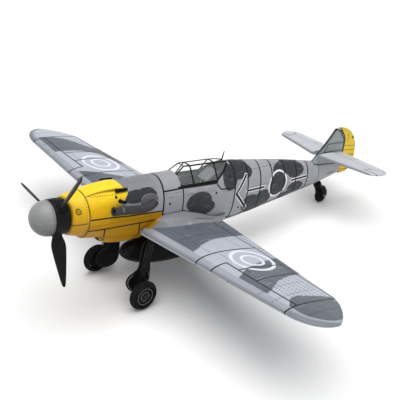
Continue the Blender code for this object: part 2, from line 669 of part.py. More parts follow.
def tail_gear():
    w = TAIL_WHEEL
    fork_x = w["width"] / 2 + 0.4
    post = rod_mesh("tail_wheel_fork", (0, 161.4, -6.6), (0, 163.9, -9.4), 1.8, 1.5)
    strut = part("tail_wheel_fork", post, "black")
    crown = cutter("fork_crown", box_mesh("fork_crown", (-fork_x - 0.8, 162.0, -9.35),
                                          (fork_x + 0.8, 166.2, -8.35)))
    boolean(strut, crown, "UNION")
    for side_name, side in SIDES:
        arm_x = sorted((side * fork_x, side * (fork_x + 0.8)))
        outline = [(162.9, -8.6), (165.9, -8.6), (168.2, -14.1), (167.2, -15.3), (165.6, -14.5)]
        arm = cutter("fork_arm_" + side_name, plate_mesh("fork_arm", outline, *arm_x))
        boolean(strut, arm, "UNION")
        hole = rod_mesh("fork_hole", (side * (fork_x - 0.3), w["y"], w["z"]),
                        (side * (fork_x + 1.1), w["y"], w["z"]), 0.8, segments=16)
        hole = cutter("fork_hole_" + side_name, hole)
        boolean(strut, hole, "DIFFERENCE")
    spin = bpy.data.objects.new("tail_wheel_axis", None)
    parts.objects.link(spin)
    spin.parent = attitude
    spin.location = Vector((0, w["y"], w["z"])) * MM
    local = Vector((1, 0, 0)).to_track_quat("Z", "Y").to_matrix().to_4x4()
    half, r = w["width"] / 2, w["radius"]
    profile = [(0.8, half - 0.3), (1.9, half - 0.3), (2.3, half)] + arc(r - 1.0, 0, 1.0, 70, -70, 6) \
        + [(2.3, -half), (1.9, 0.3 - half), (0.8, 0.3 - half)]
    turned("tail_wheel", profile, local, "rubber", spin, segments=28)
    part("tail_wheel_axle", rod_mesh("tail_wheel_axle", (-fork_x - 0.8, w["y"], w["z"]),
                                     (fork_x + 0.8, w["y"], w["z"]), 0.5, segments=16), "steel")


# ---- drop tank ------------------------------------------------------------------------------
def tank_radius(t):
    """Teardrop: round nose, widest at two fifths of the length, long tail."""
    widest = 0.42
    if t < widest:
        return math.sqrt(max(0.0, 1 - ((widest - t) / widest) ** 2))
    return math.cos(math.pi / 2 * ((t - widest) / (1 - widest)) ** 1.25) ** 0.8


def drop_tank():
    steps = 14
    place = (Matrix.Translation(Vector((0, TANK["y"], TANK["z"])) * MM)
             @ Matrix.Rotation(TANK["slope"], 4, "X"))
    for side_name, side in SIDES:
        def build(bm):
            rings = []
            for k in range(steps + 1):
                t = 0.004 + 0.992 * (1 - math.cos(math.pi * k / steps)) / 2
                y = (t - 0.5) * TANK["length"]
                r = TANK["radius"] * tank_radius(t) + 0.2
                angles = [-math.pi / 2 + math.pi * j / 12 for j in range(13)]
                rings.append([(side * (GAP / 2 + r * math.cos(a)), y, r * math.sin(a)) for a in angles])
            loft(bm, rings)
        part("drop_tank_" + side_name, mesh_from("drop_tank_" + side_name, build), "black", place=place)
    rack = [(52.0, -15.75), (76.0, -15.75), (75.5, -16.25), (52.5, -16.25)]
    part("tank_rack", plate_mesh("tank_rack", rack, -1.6, 1.6), "black", smooth=False)


# ---- attitude on the ground -----------------------------------------------------------------
def stand_on_wheels():
    """Pitch until the main and tail wheels touch the ground, then centre over the origin."""
    dy = TAIL_WHEEL["y"] - WHEEL["y"]
    dz = WHEEL["z"] - TAIL_WHEEL["z"]
    reach = math.hypot(dy, dz)
    pitch = math.asin((WHEEL["radius"] - TAIL_WHEEL["radius"]) / reach) - math.atan2(dz, dy)
    attitude.rotation_euler = (-pitch, 0, 0)
    bpy.context.view_layer.update()
    graph = bpy.context.evaluated_depsgraph_get()
    corners = []
    for made in parts.objects:
        if made.type == "MESH":
            mesh = made.evaluated_get(graph).data
            corners += [made.matrix_world @ v.co for v in mesh.vertices]
    low_y, high_y = min(c.y for c in corners), max(c.y for c in corners)
    attitude.location = (0, -(low_y + high_y) / 2, -min(c.z for c in corners))
    bpy.context.view_layer.update()


for side_name, side in SIDES:
    fuselage_half(side_name, side)
    wing_half(side_name, side, upper=True)
    wing_half(side_name, side, upper=False)
    radiator(side_name, side)
    main_gear(side_name, side)
nose()
propeller()
cockpit()
canopy()
tail()
tail_gear()
drop_tank()
stand_on_wheels()
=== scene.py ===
"""Look of the snap-together 1:48 propeller fighter, in the frame of its CAD model.

Shapes are written in aeroplane millimetres: x to port, y aft, z up from the thrust line. Every piece
is then pitched onto its wheels, and the shader nodes turn a point back into those millimetres to paint
camouflage, panel lines and markings.
"""
import math

import bmesh
import bpy
from mathutils import Matrix, Vector


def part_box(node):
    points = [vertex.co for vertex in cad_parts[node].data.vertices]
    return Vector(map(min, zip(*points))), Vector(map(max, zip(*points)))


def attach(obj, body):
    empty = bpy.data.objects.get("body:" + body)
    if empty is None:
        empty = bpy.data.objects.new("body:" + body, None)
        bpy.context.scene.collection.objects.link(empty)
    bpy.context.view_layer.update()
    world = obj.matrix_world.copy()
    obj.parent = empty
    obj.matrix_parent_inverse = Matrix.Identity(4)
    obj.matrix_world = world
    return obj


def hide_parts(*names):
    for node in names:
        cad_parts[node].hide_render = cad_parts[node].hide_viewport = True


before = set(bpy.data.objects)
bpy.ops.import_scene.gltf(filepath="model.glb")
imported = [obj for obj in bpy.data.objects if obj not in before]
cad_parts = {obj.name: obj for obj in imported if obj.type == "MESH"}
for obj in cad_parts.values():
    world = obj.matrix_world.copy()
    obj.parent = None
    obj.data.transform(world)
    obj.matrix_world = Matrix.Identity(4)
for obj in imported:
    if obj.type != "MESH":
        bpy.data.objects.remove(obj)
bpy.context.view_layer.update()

# ---- dimensions, mm -------------------------------------------------------------------------
WHEEL = Vector((17.8, 41.6, -33.9))
WHEEL_RADIUS = 6.5
WHEEL_WIDTH = 4.0
TAIL_WHEEL = Vector((0.0, 166.8, -13.9))
TAIL_WHEEL_RADIUS = 4.2

HALF_SPAN = 103.1
WING_ROOT_X = 9.4
WING_TIP_START_X = 88.0
WING_ROOT_LE_Y = 42.8
WING_ROOT_TE_Y = 84.5
WING_LE_SLOPE = 0.043
WING_TE_SLOPE = -0.165
WING_ROOT_Z = -9.1
WING_DIHEDRAL = 0.060
WING_ROOT_THICKNESS = 0.150
WING_TIP_THICKNESS = 0.120
WING_TIP_CENTRE_Y = 57.3
WHEEL_WELL = (38.0, 58.0, 7.0)

SEAM = 0.03                    # half of the hairline between two mouldings
NOSE_Y = 11.0
COWL_Y = 17.9
TAIL_JOINT_Y = 152.6
COCKPIT_Y = (62.9, 92.5)
SILL_Z = 7.3
SILL_KINK_Y = 83.9
SILL_REAR_Z = 13.0
GUN = (5.6, 9.7)               # x and z of a gun barrel's line

PROP_RADIUS = 27.5
PROP_PLANE_Y = 7.2
PROP_PHASE = math.radians(36.0)
SPINNER_RADIUS = 7.1
SPINNER_BASE_Y = 3.9
SPINNER_LENGTH = 6.9

TANK = dict(y=64.8, z=-23.8, radius=6.6, length=48.8, slope=math.radians(-4.0))

# y, half width, z of the widest point, top z, bottom z, upper and lower roundness
FUSELAGE = [
    (17.9, 9.25, -0.4, 9.35, -10.35, 2.0, 2.0),
    (26.0, 9.3, -0.6, 10.5, -11.4, 2.2, 2.1),
    (33.0, 9.1, -0.8, 11.1, -12.4, 2.3, 2.2),
    (46.0, 9.0, -1.0, 11.5, -14.4, 2.3, 2.4),
    (60.0, 8.9, -1.2, 11.8, -15.3, 2.2, 2.6),
    (76.0, 8.8, -1.2, 12.4, -15.4, 2.1, 2.6),
    (94.0, 8.3, -1.4, 13.3, -15.6, 2.0, 2.4),
    (106.0, 7.6, -1.0, 12.3, -14.6, 2.0, 2.2),
    (118.0, 6.8, -0.8, 11.0, -12.9, 2.0, 2.1),
    (136.0, 5.3, -0.5, 8.9, -10.1, 2.0, 2.0),
    (154.0, 3.8, -0.3, 6.3, -7.1, 2.0, 2.0),
    (176.0, 1.3, 0.6, 4.3, -2.4, 2.0, 2.0),
]
SIDES = (("left", 1), ("right", -1))
BLISTERS = ((57.3, 4.8, 1.7), (68.6, 4.7, 1.6), (68.6, -1.0, 1.6))    # y, z, half length


def attitude():
    """Nose-up pitch that puts all three tyres on the ground, placed on the CAD wheel's centre."""
    run = TAIL_WHEEL.y - WHEEL.y
    rise = WHEEL.z - TAIL_WHEEL.z
    pitch = (math.asin((WHEEL_RADIUS - TAIL_WHEEL_RADIUS) / math.hypot(run, rise))
             - math.atan2(rise, run))
    turn = Matrix.Rotation(-pitch, 4, "X") @ Matrix.Diagonal((0.001, 0.001, 0.001, 1.0))
    low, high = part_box("tyre_left")
    centre = (Vector(low) + Vector(high)) / 2
    return Matrix.Translation(centre - turn @ WHEEL) @ turn


ATTITUDE = attitude()


# ---- mesh helpers ---------------------------------------------------------------------------
def mesh_from(name, build, smooth=True, sharp=35.0):
    """Run `build(bm)` in aeroplane millimetres and return the mesh, facing out."""
    bm = bmesh.new()
    build(bm)
    bmesh.ops.recalc_face_normals(bm, faces=bm.faces[:])
    mesh = bpy.data.meshes.new(name)
    bm.to_mesh(mesh)
    bm.free()
    if smooth:
        mesh.shade_smooth()
        mesh.set_sharp_from_angle(angle=math.radians(sharp))
    return mesh


def piece(name, build, look, body="airframe", replaces=(), smooth=True):
    """A visible piece, built in aeroplane millimetres, that rides on a CAD body."""
    mesh = mesh_from(name, build, smooth)
    mesh.transform(ATTITUDE)
    made = bpy.data.objects.new(name, mesh)
    bpy.context.scene.collection.objects.link(made)
    mesh.materials.clear()
    mesh.materials.append(look)
    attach(made, body)
    if replaces:
        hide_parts(*replaces)
    return made


def repaint(nodes, look):
    """Carry CAD nodes over with a material of this scene."""
    for name in nodes:
        node = bpy.data.objects[name]
        node.data.materials.clear()
        node.data.materials.append(look)


def rounded(made, width, segments=2, angle=30.0):
    """Small edge rounding, as moulded plastic has."""
    step = made.modifiers.new("rounded", "BEVEL")
    step.width = width * 0.001
    step.segments = segments
    step.limit_method = "ANGLE"
    step.angle_limit = math.radians(angle)
    step.harden_normals = False
    return made


def cut(target, build, operation="DIFFERENCE"):
    """Apply one exact Boolean to a piece's mesh, with a shape built in the same millimetres."""
    target.data.transform(ATTITUDE.inverted())
    tool = bpy.data.objects.new("tool", mesh_from("tool", build, smooth=False))
    bpy.context.scene.collection.objects.link(tool)
    tool.matrix_world = target.matrix_world
    step = target.modifiers.new("cut", "BOOLEAN")
    step.object = tool
    step.operation = operation
    step.solver = "EXACT"
    bpy.context.view_layer.update()
    graph = bpy.context.evaluated_depsgraph_get()
    made = bpy.data.meshes.new_from_object(target.evaluated_get(graph))
    target.modifiers.clear()
    made.transform(ATTITUDE)
    made.materials.clear()
    made.materials.append(target.data.materials[0])
    target.data = made
    made.shade_smooth()
    made.set_sharp_from_angle(angle=math.radians(35.0))
    bpy.data.objects.remove(tool, do_unlink=True)
    return target


def smooth_row(table, t):
    """Values at t on a smooth curve through a table whose first column is t."""
    last = len(table) - 1
    t = min(max(t, table[0][0]), table[last][0])
    i = max(k for k in range(last) if table[k][0] <= t)
    low, high = table[i], table[i + 1]
    span = high[0] - low[0]
    u = (t - low[0]) / span
    before, after = table[max(i - 1, 0)], table[min(i + 2, last)]
    values = []
    for c in range(1, len(low)):
        slope_low = (high[c] - before[c]) / (high[0] - before[0])
        slope_high = (after[c] - low[c]) / (after[0] - low[0])
        values.append((2 * u**3 - 3 * u**2 + 1) * low[c] + (u**3 - 2 * u**2 + u) * span * slope_low
                      + (3 * u**2 - 2 * u**3) * high[c] + (u**3 - u**2) * span * slope_high)
    return values


def straight_row(table, t):
    """Like smooth_row, with straight runs between the rows."""
    t = min(max(t, table[0][0]), table[-1][0])
    i = max(k for k in range(len(table) - 1) if table[k][0] <= t)
    low, high = table[i], table[i + 1]
    u = (t - low[0]) / (high[0] - low[0])
    return [a + (b - a) * u for a, b in zip(low[1:], high[1:])]


def spread(start, end, step):
    """Evenly spaced values from start to end, about `step` apart."""
    count = max(1, round((end - start) / step))
    return [start + (end - start) * k / count for k in range(count + 1)]


def grid(bm, rows, closed=False, caps=False):
    """Skin rows of points; closed joins each row end to end, caps close the first and last row."""
    verts = [[bm.verts.new(p) for p in row] for row in rows]
    count = len(verts[0])
    for a, b in zip(verts, verts[1:]):
        for i in range(count if closed else count - 1):
            j = (i + 1) % count
            bm.faces.new((a[i], a[j], b[j], b[i]))
    if caps:
        bm.faces.new(verts[0])
        bm.faces.new(reversed(verts[-1]))
    return verts


def wall(bm, outer, inner):
    """Skin open outer and inner lines of equal length into one closed wall."""
    out = grid(bm, outer)
    inn = grid(bm, inner)
    for i in range(len(out[0]) - 1):
        bm.faces.new((out[0][i], out[0][i + 1], inn[0][i + 1], inn[0][i]))
        bm.faces.new((out[-1][i], out[-1][i + 1], inn[-1][i + 1], inn[-1][i]))
    for r in range(len(out) - 1):
        for i in (0, -1):
            bm.faces.new((out[r][i], out[r + 1][i], inn[r + 1][i], inn[r][i]))


def turned(bm, profile, centre, axis, segments=48, closed=False):
    """Sweep (radius, height) points round a line through `centre` along `axis`."""
    turn = Vector(axis).to_track_quat("Z", "Y").to_matrix()
    rings = []
    for radius, height in profile:
        ring = []
        for k in range(segments):
            a = 2 * math.pi * k / segments
            ring.append(Vector(centre) + turn @ Vector((radius * math.cos(a), radius * math.sin(a),
                                                        height)))
        rings.append(ring)
    if closed:
        rings.append(rings[0])
    grid(bm, rings, closed=True, caps=not closed)
    bmesh.ops.remove_doubles(bm, verts=bm.verts[:], dist=0.0005)


def arc(centre_r, centre_h, radius, start, end, steps):
    """Points of an arc in the (radius, height) plane, angles in degrees from outward."""
    return [(centre_r + radius * math.cos(math.radians(start + (end - start) * k / steps)),
             centre_h + radius * math.sin(math.radians(start + (end - start) * k / steps)))
            for k in range(steps + 1)]


def smooth_path(points, per_span=6):
    """Catmull-Rom curve through the points."""
    p = [Vector(q) for q in points]
    p = [2 * p[0] - p[1]] + p + [2 * p[-1] - p[-2]]
    line = []
    for i in range(1, len(p) - 2):
        for k in range(per_span):
            t = k / per_span
            line.append(0.5 * ((2 * p[i]) + (p[i + 1] - p[i - 1]) * t
                               + (2 * p[i - 1] - 5 * p[i] + 4 * p[i + 1] - p[i + 2]) * t * t
                               + (3 * p[i] - p[i - 1] - 3 * p[i + 1] + p[i + 2]) * t**3))
    return line + [p[-2]]


def tube(bm, line, radii, segments=16, squash=1.0):
    """Round or flattened tube along a line, with a radius for each point."""
    line = [Vector(p) for p in line]
    if not hasattr(radii, "__len__"):
        radii = [radii] * len(line)
    side = Vector((1, 0, 0))
    rings = []
    for i, p in enumerate(line):
        way = (line[min(i + 1, len(line) - 1)] - line[max(i - 1, 0)]).normalized()
        side = (side - way * side.dot(way))
        side = side.normalized() if side.length > 0.01 else way.orthogonal().normalized()
        up = way.cross(side)
        rings.append([p + (side * math.cos(2 * math.pi * k / segments) * squash
                           + up * math.sin(2 * math.pi * k / segments)) * radii[i]
                      for k in range(segments)])
    grid(bm, rings, closed=True, caps=True)


def box(bm, corner, opposite):
    """Block between two opposite corners."""
    made = bmesh.ops.create_cube(bm, size=1.0)["verts"]
    size = [abs(b - a) for a, b in zip(corner, opposite)]
    centre = [(a + b) / 2 for a, b in zip(corner, opposite)]
    bmesh.ops.scale(bm, vec=size, verts=made)
    bmesh.ops.translate(bm, vec=centre, verts=made)


def plate(bm, outline, x_low, x_high):
    """Flat plate standing fore and aft: (y, z) points between two x planes."""
    grid(bm, [[(x, y, z) for y, z in outline] for x in (x_low, x_high)], closed=True, caps=True)


def round_outline(points, per_span=4):
    """Closed smooth outline through (y, z) points."""
    closed = [(0, y, z) for y, z in points]
    ring = closed[-2:] + closed + closed[:3]
    line = smooth_path(ring, per_span)
    start, end = per_span * 2, per_span * (2 + len(points))
    return [(p.y, p.z) for p in line[start:end]]


def ring_strip(bm, line, width, height, up):
    """Flat bar of rectangular section along a line, standing `height` along `up`."""
    rows = []
    line = [Vector(p) for p in line]
    for i, p in enumerate(line):
        way = (line[min(i + 1, len(line) - 1)] - line[max(i - 1, 0)]).normalized()
        raised = Vector(up(p)) if callable(up) else Vector(up)
        raised = (raised - way * raised.dot(way)).normalized()
        side = way.cross(raised)
        rows.append([p + side * width / 2 - raised * height / 2,
                     p + side * width / 2 + raised * height / 2,
                     p - side * width / 2 + raised * height / 2,
                     p - side * width / 2 - raised * height / 2])
    grid(bm, rows, closed=True, caps=True)


# ---- shader helpers -------------------------------------------------------------------------
def srgb(*levels):
    """Linear colour from 0-255 screen levels."""
    return tuple(((c / 255 + 0.055) / 1.055) ** 2.4 if c > 10 else c / 255 / 12.92
                 for c in levels) + (1.0,)


class Paint:
    """A Principled material being built, with short calls for its nodes."""

    def __init__(self, name, metallic=0.0, specular=0.5, coat=0.0):
        self.material = bpy.data.materials.new(name)
        self.material.use_nodes = True
        self.tree = self.material.node_tree
        self.shader = self.tree.nodes["Principled BSDF"]
        self.shader.inputs["Metallic"].default_value = metallic
        self.shader.inputs["Specular IOR Level"].default_value = specular
        self.shader.inputs["Coat Weight"].default_value = coat
        row_point = self.node("ShaderNodeTexCoord").outputs["Object"]
        place, turn, scale = ATTITUDE.decompose()
        placing = {0: row_point, 1: place, 2: turn.to_euler(), 3: scale}
        self.point = self.node("ShaderNodeMapping", placing, vector_type="TEXTURE").outputs[0]
        split = self.node("ShaderNodeSeparateXYZ", {0: self.point})
        self.x, self.y, self.z = split.outputs

    def node(self, kind, inputs=None, **settings):
        """A node of this kind, with its inputs linked or set and its settings made."""
        made = self.tree.nodes.new(kind)
        for key, value in settings.items():
            setattr(made, key, value)
        for key, value in (inputs or {}).items():
            self.join(made.inputs[key], value)
        return made

    def join(self, socket, value):
        """Link a socket to an input, or set the input to a plain value."""
        if isinstance(value, bpy.types.NodeSocket):
            self.tree.links.new(value, socket)
        elif socket.type == "VECTOR":
            socket.default_value = value[:3]
        else:
            socket.default_value = value

    def math(self, operation, *values):
        """Result of one Math node."""
        return self.node("ShaderNodeMath", dict(enumerate(values)), operation=operation).outputs[0]

    def vector(self, x, y, z=0.0):
        return self.node("ShaderNodeCombineXYZ", {0: x, 1: y, 2: z}).outputs[0]

    def above(self, value, edge, soft=0.15):
        """0 below the edge and 1 above it; the edge may be a socket."""
        shifted = self.math("SUBTRACT", value, edge)
        return self.node("ShaderNodeMapRange", {0: shifted, 1: -soft, 2: soft},
                         interpolation_type="SMOOTHSTEP").outputs[0]

    def below(self, value, edge, soft=0.15):
        """1 below the edge and 0 above it."""
        return self.math("SUBTRACT", 1.0, self.above(value, edge, soft))

    def between(self, value, low, high, soft=0.15):
        """1 from low to high."""
        return self.both(self.above(value, low, soft), self.below(value, high, soft))

    def near(self, value, centre, half, soft=0.12):
        """1 within `half` of the centre."""
        off = self.math("ABSOLUTE", self.math("SUBTRACT", value, centre))
        return self.below(off, half, soft)

    def both(self, *masks):
        """Where all of the masks are."""
        made = masks[0]
        for mask in masks[1:]:
            made = self.math("MULTIPLY", made, mask)
        return made

    def any(self, *masks):
        """Where at least one of the masks is."""
        made = masks[0]
        for mask in masks[1:]:
            made = self.math("MAXIMUM", made, mask)
        return made

    def noise(self, scale, detail=2.0, rough=0.5, point=None, stretch=None):
        """Noise about `1 / scale` mm across, from 0 to 1 with its middle at 0.5."""
        point = point or self.point
        if stretch:
            point = self.node("ShaderNodeVectorMath", {0: point, 1: stretch},
                              operation="MULTIPLY").outputs[0]
        return self.node("ShaderNodeTexNoise", {"Vector": point, "Scale": scale, "Detail": detail,
                                                "Roughness": rough}).outputs["Fac"]

    def wobble(self, value, amount, scale, seed=0.0):
        """A coordinate shaken by noise, so that a printed edge isn't ruler straight."""
        moved = self.node("ShaderNodeVectorMath", {0: self.point, 1: (seed, seed * 0.7, -seed)},
                          operation="ADD").outputs[0]
        shake = self.math("MULTIPLY_ADD", self.noise(scale, 1.0, 0.5, moved), 2 * amount, -amount)
        return self.math("ADD", value, shake)

    def curve(self, value, points, low, high):
        """A drawn boundary: `points` give (value, result), both in mm between low and high."""
        span = high - low
        unit = self.math("DIVIDE", self.math("SUBTRACT", value, low), span)
        made = self.node("ShaderNodeFloatCurve", {1: unit})
        line = made.mapping.curves[0]
        pairs = sorted(((a - low) / span, (b - low) / span) for a, b in points)
        line.points[0].location = pairs[0]
        line.points[1].location = pairs[-1]
        for pair in pairs[1:-1]:
            line.points.new(*pair)
        made.mapping.update()
        return self.math("MULTIPLY_ADD", made.outputs[0], span, low)

    def line(self, point, start, end, half=0.2):
        """1 on the straight line between two 2-D points."""
        return self.node("ShaderNodeGroup", {0: point, 1: (*start, 0), 2: (*end, 0), 3: half},
                         node_tree=LINE_GROUP).outputs[0]

    def lines(self, point, runs, half=0.2):
        """1 on any of several polylines of 2-D points."""
        made = None
        for run in runs:
            for start, end in zip(run, run[1:]):
                mask = self.line(point, start, end, half)
                made = mask if made is None else self.any(made, mask)
        return made

    def blob(self, point, centre, radii, soft=0.08):
        """1 inside a soft-edged ellipse."""
        return self.node("ShaderNodeGroup", {0: point, 1: (*centre, 0), 2: (*radii, 1), 3: soft},
                         node_tree=BLOB_GROUP).outputs[0]

    def blobs(self, point, shapes):
        """1 inside any of the ellipses, given as centre y, z and radii."""
        return self.each(shapes, lambda shape: self.blob(point, shape[:2], shape[2:]))

    def each(self, items, mask_of):
        """The union of one mask for each item, joined as they are made."""
        made = None
        for item in items:
            mask = mask_of(item)
            made = mask if made is None else self.any(made, mask)
        return made

    def ring(self, point, centre, radius, half):
        """1 on a circle's line."""
        off = self.node("ShaderNodeVectorMath", {0: point, 1: (*centre, 0)},
                        operation="DISTANCE").outputs["Value"]
        return self.near(off, radius, half)

    def disc(self, point, centre, radius):
        """1 inside a circle."""
        off = self.node("ShaderNodeVectorMath", {0: point, 1: (*centre, 0)},
                        operation="DISTANCE").outputs["Value"]
        return self.below(off, radius)

    def mix(self, share, a, b):
        """Colour a where the share is 0 and b where it is 1."""
        made = self.node("ShaderNodeMix", data_type="RGBA")
        for socket, value in zip((made.inputs[0], made.inputs[6], made.inputs[7]), (share, a, b)):
            self.join(socket, value)
        return made.outputs[2]

    def shade(self, colour, amount, scale, detail=3.0, point=None, stretch=None):
        """The colour made up to `amount` lighter and darker by noise."""
        level = self.math("MULTIPLY_ADD", self.noise(scale, detail, 0.6, point, stretch), 2 * amount,
                          1 - amount)
        scaled = self.node("ShaderNodeVectorMath", {0: colour, 3: level}, operation="SCALE")
        return scaled.outputs[0]

    def finish(self, colour, roughness, height=None, depth=0.00012, strength=0.7):
        """Join colour, roughness and relief to the shader. Heights are 0 to 1 for `depth` metres."""
        self.join(self.shader.inputs["Base Color"], colour)
        self.join(self.shader.inputs["Roughness"], roughness)
        if height is not None:
            bump = self.node("ShaderNodeBump", {"Height": height, "Distance": depth,
                                                "Strength": strength})
            self.join(self.shader.inputs["Normal"], bump.outputs[0])
        return self.material


def mask_group(name, inputs, build):
    """A node group with `inputs` of (name, type) and one Mask output."""
    tree = bpy.data.node_groups.new(name, "ShaderNodeTree")
    for label, kind in inputs:
        tree.interface.new_socket(name=label, in_out="INPUT", socket_type=kind)
    tree.interface.new_socket(name="Mask", in_out="OUTPUT", socket_type="NodeSocketFloat")
    source = tree.nodes.new("NodeGroupInput").outputs

    def node(kind, operation, *values):
        made = tree.nodes.new(kind)
        made.operation = operation
        for socket, value in zip(made.inputs, values):
            if isinstance(value, bpy.types.NodeSocket):
                tree.links.new(value, socket)
            else:
                socket.default_value = value
        return made
    mask = build(source, node)
    tree.links.new(mask, tree.nodes.new("NodeGroupOutput").inputs[0])
    return tree


def line_mask(source, node):
    """Distance from a straight run, turned into a soft-edged line."""
    point, start, end, half = source[0], source[1], source[2], source[3]
    to_point = node("ShaderNodeVectorMath", "SUBTRACT", point, start).outputs[0]
    along = node("ShaderNodeVectorMath", "SUBTRACT", end, start).outputs[0]
    reach = node("ShaderNodeVectorMath", "DOT_PRODUCT", to_point, along).outputs["Value"]
    length = node("ShaderNodeVectorMath", "DOT_PRODUCT", along, along).outputs["Value"]
    share = node("ShaderNodeMath", "DIVIDE", reach, length)
    share.use_clamp = True
    foot = node("ShaderNodeVectorMath", "SCALE", along)
    foot.id_data.links.new(share.outputs[0], foot.inputs[3])
    off = node("ShaderNodeVectorMath", "DISTANCE", to_point, foot.outputs[0]).outputs["Value"]
    over = node("ShaderNodeMath", "SUBTRACT", off, half).outputs[0]
    ramp = node("ShaderNodeMath", "MULTIPLY_ADD", over, -LINE_SHARPNESS, 0.5)
    ramp.use_clamp = True
    return ramp.outputs[0]


def blob_mask(source, node):
    """A soft-edged ellipse."""
    point, centre, radii, soft = source[0], source[1], source[2], source[3]
    off = node("ShaderNodeVectorMath", "SUBTRACT", point, centre).outputs[0]
    unit = node("ShaderNodeVectorMath", "DIVIDE", off, radii).outputs[0]
    reach = node("ShaderNodeVectorMath", "LENGTH", unit).outputs["Value"]
    inside = node("ShaderNodeMath", "SUBTRACT", 1.0, reach).outputs[0]
    ramp = node("ShaderNodeMath", "DIVIDE", inside, soft)
    ramp.use_clamp = True
    return ramp.outputs[0]


LINE_SHARPNESS = 4.5           # 1 / mm, how crisp a printed line's edge is
VECTOR, FLOAT = "NodeSocketVector", "NodeSocketFloat"
LINE_GROUP = mask_group("printed_line", [("Point", VECTOR), ("Start", VECTOR), ("End", VECTOR),
                                         ("Half Width", FLOAT)], line_mask)
BLOB_GROUP = mask_group("camouflage_blob", [("Point", VECTOR), ("Centre", VECTOR), ("Radii", VECTOR),
                                            ("Soft", FLOAT)], blob_mask)


# ---- paint schemes, mm ----------------------------------------------------------------------
GREY = srgb(148, 149, 154)
DARK_GREY = srgb(52, 54, 59)
YELLOW = srgb(212, 166, 6)
OCHRE = srgb(120, 84, 14)
INK = srgb(16, 16, 18)
WHITE = srgb(226, 228, 233)
WING_GREY = srgb(172, 176, 187)
WING_DARK = srgb(88, 94, 103)
WING_EDGE = srgb(150, 154, 163)
# Painted shade on the rounded leading edge and wing tip
WING_EDGE_SHADE = srgb(92, 95, 100)
TAIL_GREY = srgb(133, 141, 142)
BLACK = srgb(13, 13, 13)

# Side camouflage: centre y, centre z, half length, half height
SIDE_PATCHES = [
    (39.5, 6.6, 6.0, 2.6), (44.8, 6.7, 5.2, 2.6),
    (73.2, -0.4, 7.6, 4.9), (76.6, -3.4, 6.6, 3.6),
    (91.4, 7.6, 4.6, 5.6), (98.0, 10.2, 6.8, 4.0), (102.6, 9.0, 3.6, 2.9),
    (106.0, -6.2, 5.8, 4.4), (114.6, -5.4, 6.6, 4.6), (110.0, -9.0, 7.0, 4.0),
    (127.6, 6.6, 7.4, 3.3), (137.4, 4.9, 6.8, 3.6), (133.0, 8.5, 8.0, 2.0),
    (138.6, -4.0, 6.4, 3.4), (132.0, -7.5, 5.0, 2.4),
]
# Panel lines, stripes and dots on the sides as (y, z) runs and places
FRAME_LINES_Y = (53.3, 94.3, 102.8, 111.4, 119.6, 128.6, 137.8, 147.2)
SIDE_LINES = [
    [(17.1, 0.6), (27.0, 0.2), (36.0, -0.6), (53.3, -1.2)],
    [(17.1, -4.5), (36.0, -4.8), (53.3, -4.8)],
    [(25.0, -4.6), (26.2, -8.0), (28.3, -11.8)],
    [(41.8, -4.9), (43.4, -10.5), (43.4, -14.0)],
    [(63.8, 7.6), (63.9, -3.0)],
    [(53.3, 6.8), (63.8, 6.9), (83.2, 6.6)],
    [(83.2, 6.0), (85.7, 3.6), (94.3, 2.9)],
    [(53.4, -3.1), (64.3, -2.9), (75.0, -6.0), (87.9, -10.7), (96.6, -12.0)],
    [(87.9, -10.7), (90.0, -13.4), (92.2, -11.8)],
    [(94.3, -12.6), (152.6, -5.0)],
]
# Rivet rows: z, first y, last y
RIVET_ROWS = [(5.6, 54.2, 63.0), (3.8, 64.6, 82.0), (2.2, 86.5, 93.5), (-2.4, 18.0, 52.0),
              (8.4, 18.5, 31.0), (9.4, 104.0, 150.0), (-8.8, 106.0, 135.0), (1.9, 104.0, 118.0)]
CHEVRON = [(101.6, 7.6), (95.4, 0.0), (103.8, -8.4)]
BARS = [[(102.8, 0.3), (114.2, 0.4)], [(134.6, 0.4), (147.0, 0.8)]]
DISC = (124.3, 0.2)
DISC_RADIUS = 6.3
SMALL_DOTS = [(56.6, 1.4), (98.7, -7.3), (91.1, 8.3), (82.7, 2.4), (30.0, 7.6)]
SMALL_BUMPS = [(57.3, 4.8), (68.6, 4.7), (68.6, -1.0), (76.2, 1.9), (58.2, 9.0)]

# Panel lines of the upper and lower wing as (span, y) runs. Rivet rows: y, first and last span;
# rivet ribs: span, first and last y
WING_LINES = [
    [(42.7, 42.0), (42.9, 55.0), (43.5, 74.9)],
    [(51.1, 43.0), (51.3, 51.8), (69.0, 51.6), (87.6, 51.8)],
    [(58.2, 51.7), (60.1, 73.5)],
    [(67.8, 51.7), (67.6, 72.5)],
    [(87.6, 44.0), (88.2, 56.0), (89.6, 76.0)],
    [(14.6, 76.6), (31.1, 74.9), (43.1, 75.0), (58.0, 73.6), (69.2, 72.4), (81.2, 71.5), (89.4, 70.9)],
]
WING_RIVET_ROWS = [(54.6, 44.5, 86.5), (57.0, 68.5, 86.5), (59.4, 68.5, 86.5), (61.8, 68.5, 86.5),
                   (64.2, 68.5, 86.5), (66.6, 68.5, 86.5), (69.0, 68.5, 86.5), (52.0, 12.5, 42.0),
                   (68.0, 18.0, 42.0), (77.6, 20.0, 60.0)]
WING_RIVET_RIBS = [(27.0, 47.0, 73.0), (74.5, 46.5, 70.0), (81.0, 46.5, 70.0), (94.5, 50.0, 68.0)]
WING_MARK = (53.6, 63.4)       # x and y of the plain double ring
COWL_LINES = [[(9.0, -1.4), (16.6, -0.6)], [(26.9, -11.0), (28.6, -12.4)], [(43.4, -8.0), (43.4, -16.0)]]
FIN_OUTLINE = [
    [(152.0, 5.2), (153.6, 7.4), (156.6, 10.1), (160.6, 13.9), (164.4, 18.6), (166.6, 21.6),
     (168.0, 22.2)],
    [(168.2, 22.2), (171.6, 19.6), (174.6, 16.2), (175.3, 13.0), (175.4, 4.0)],
]
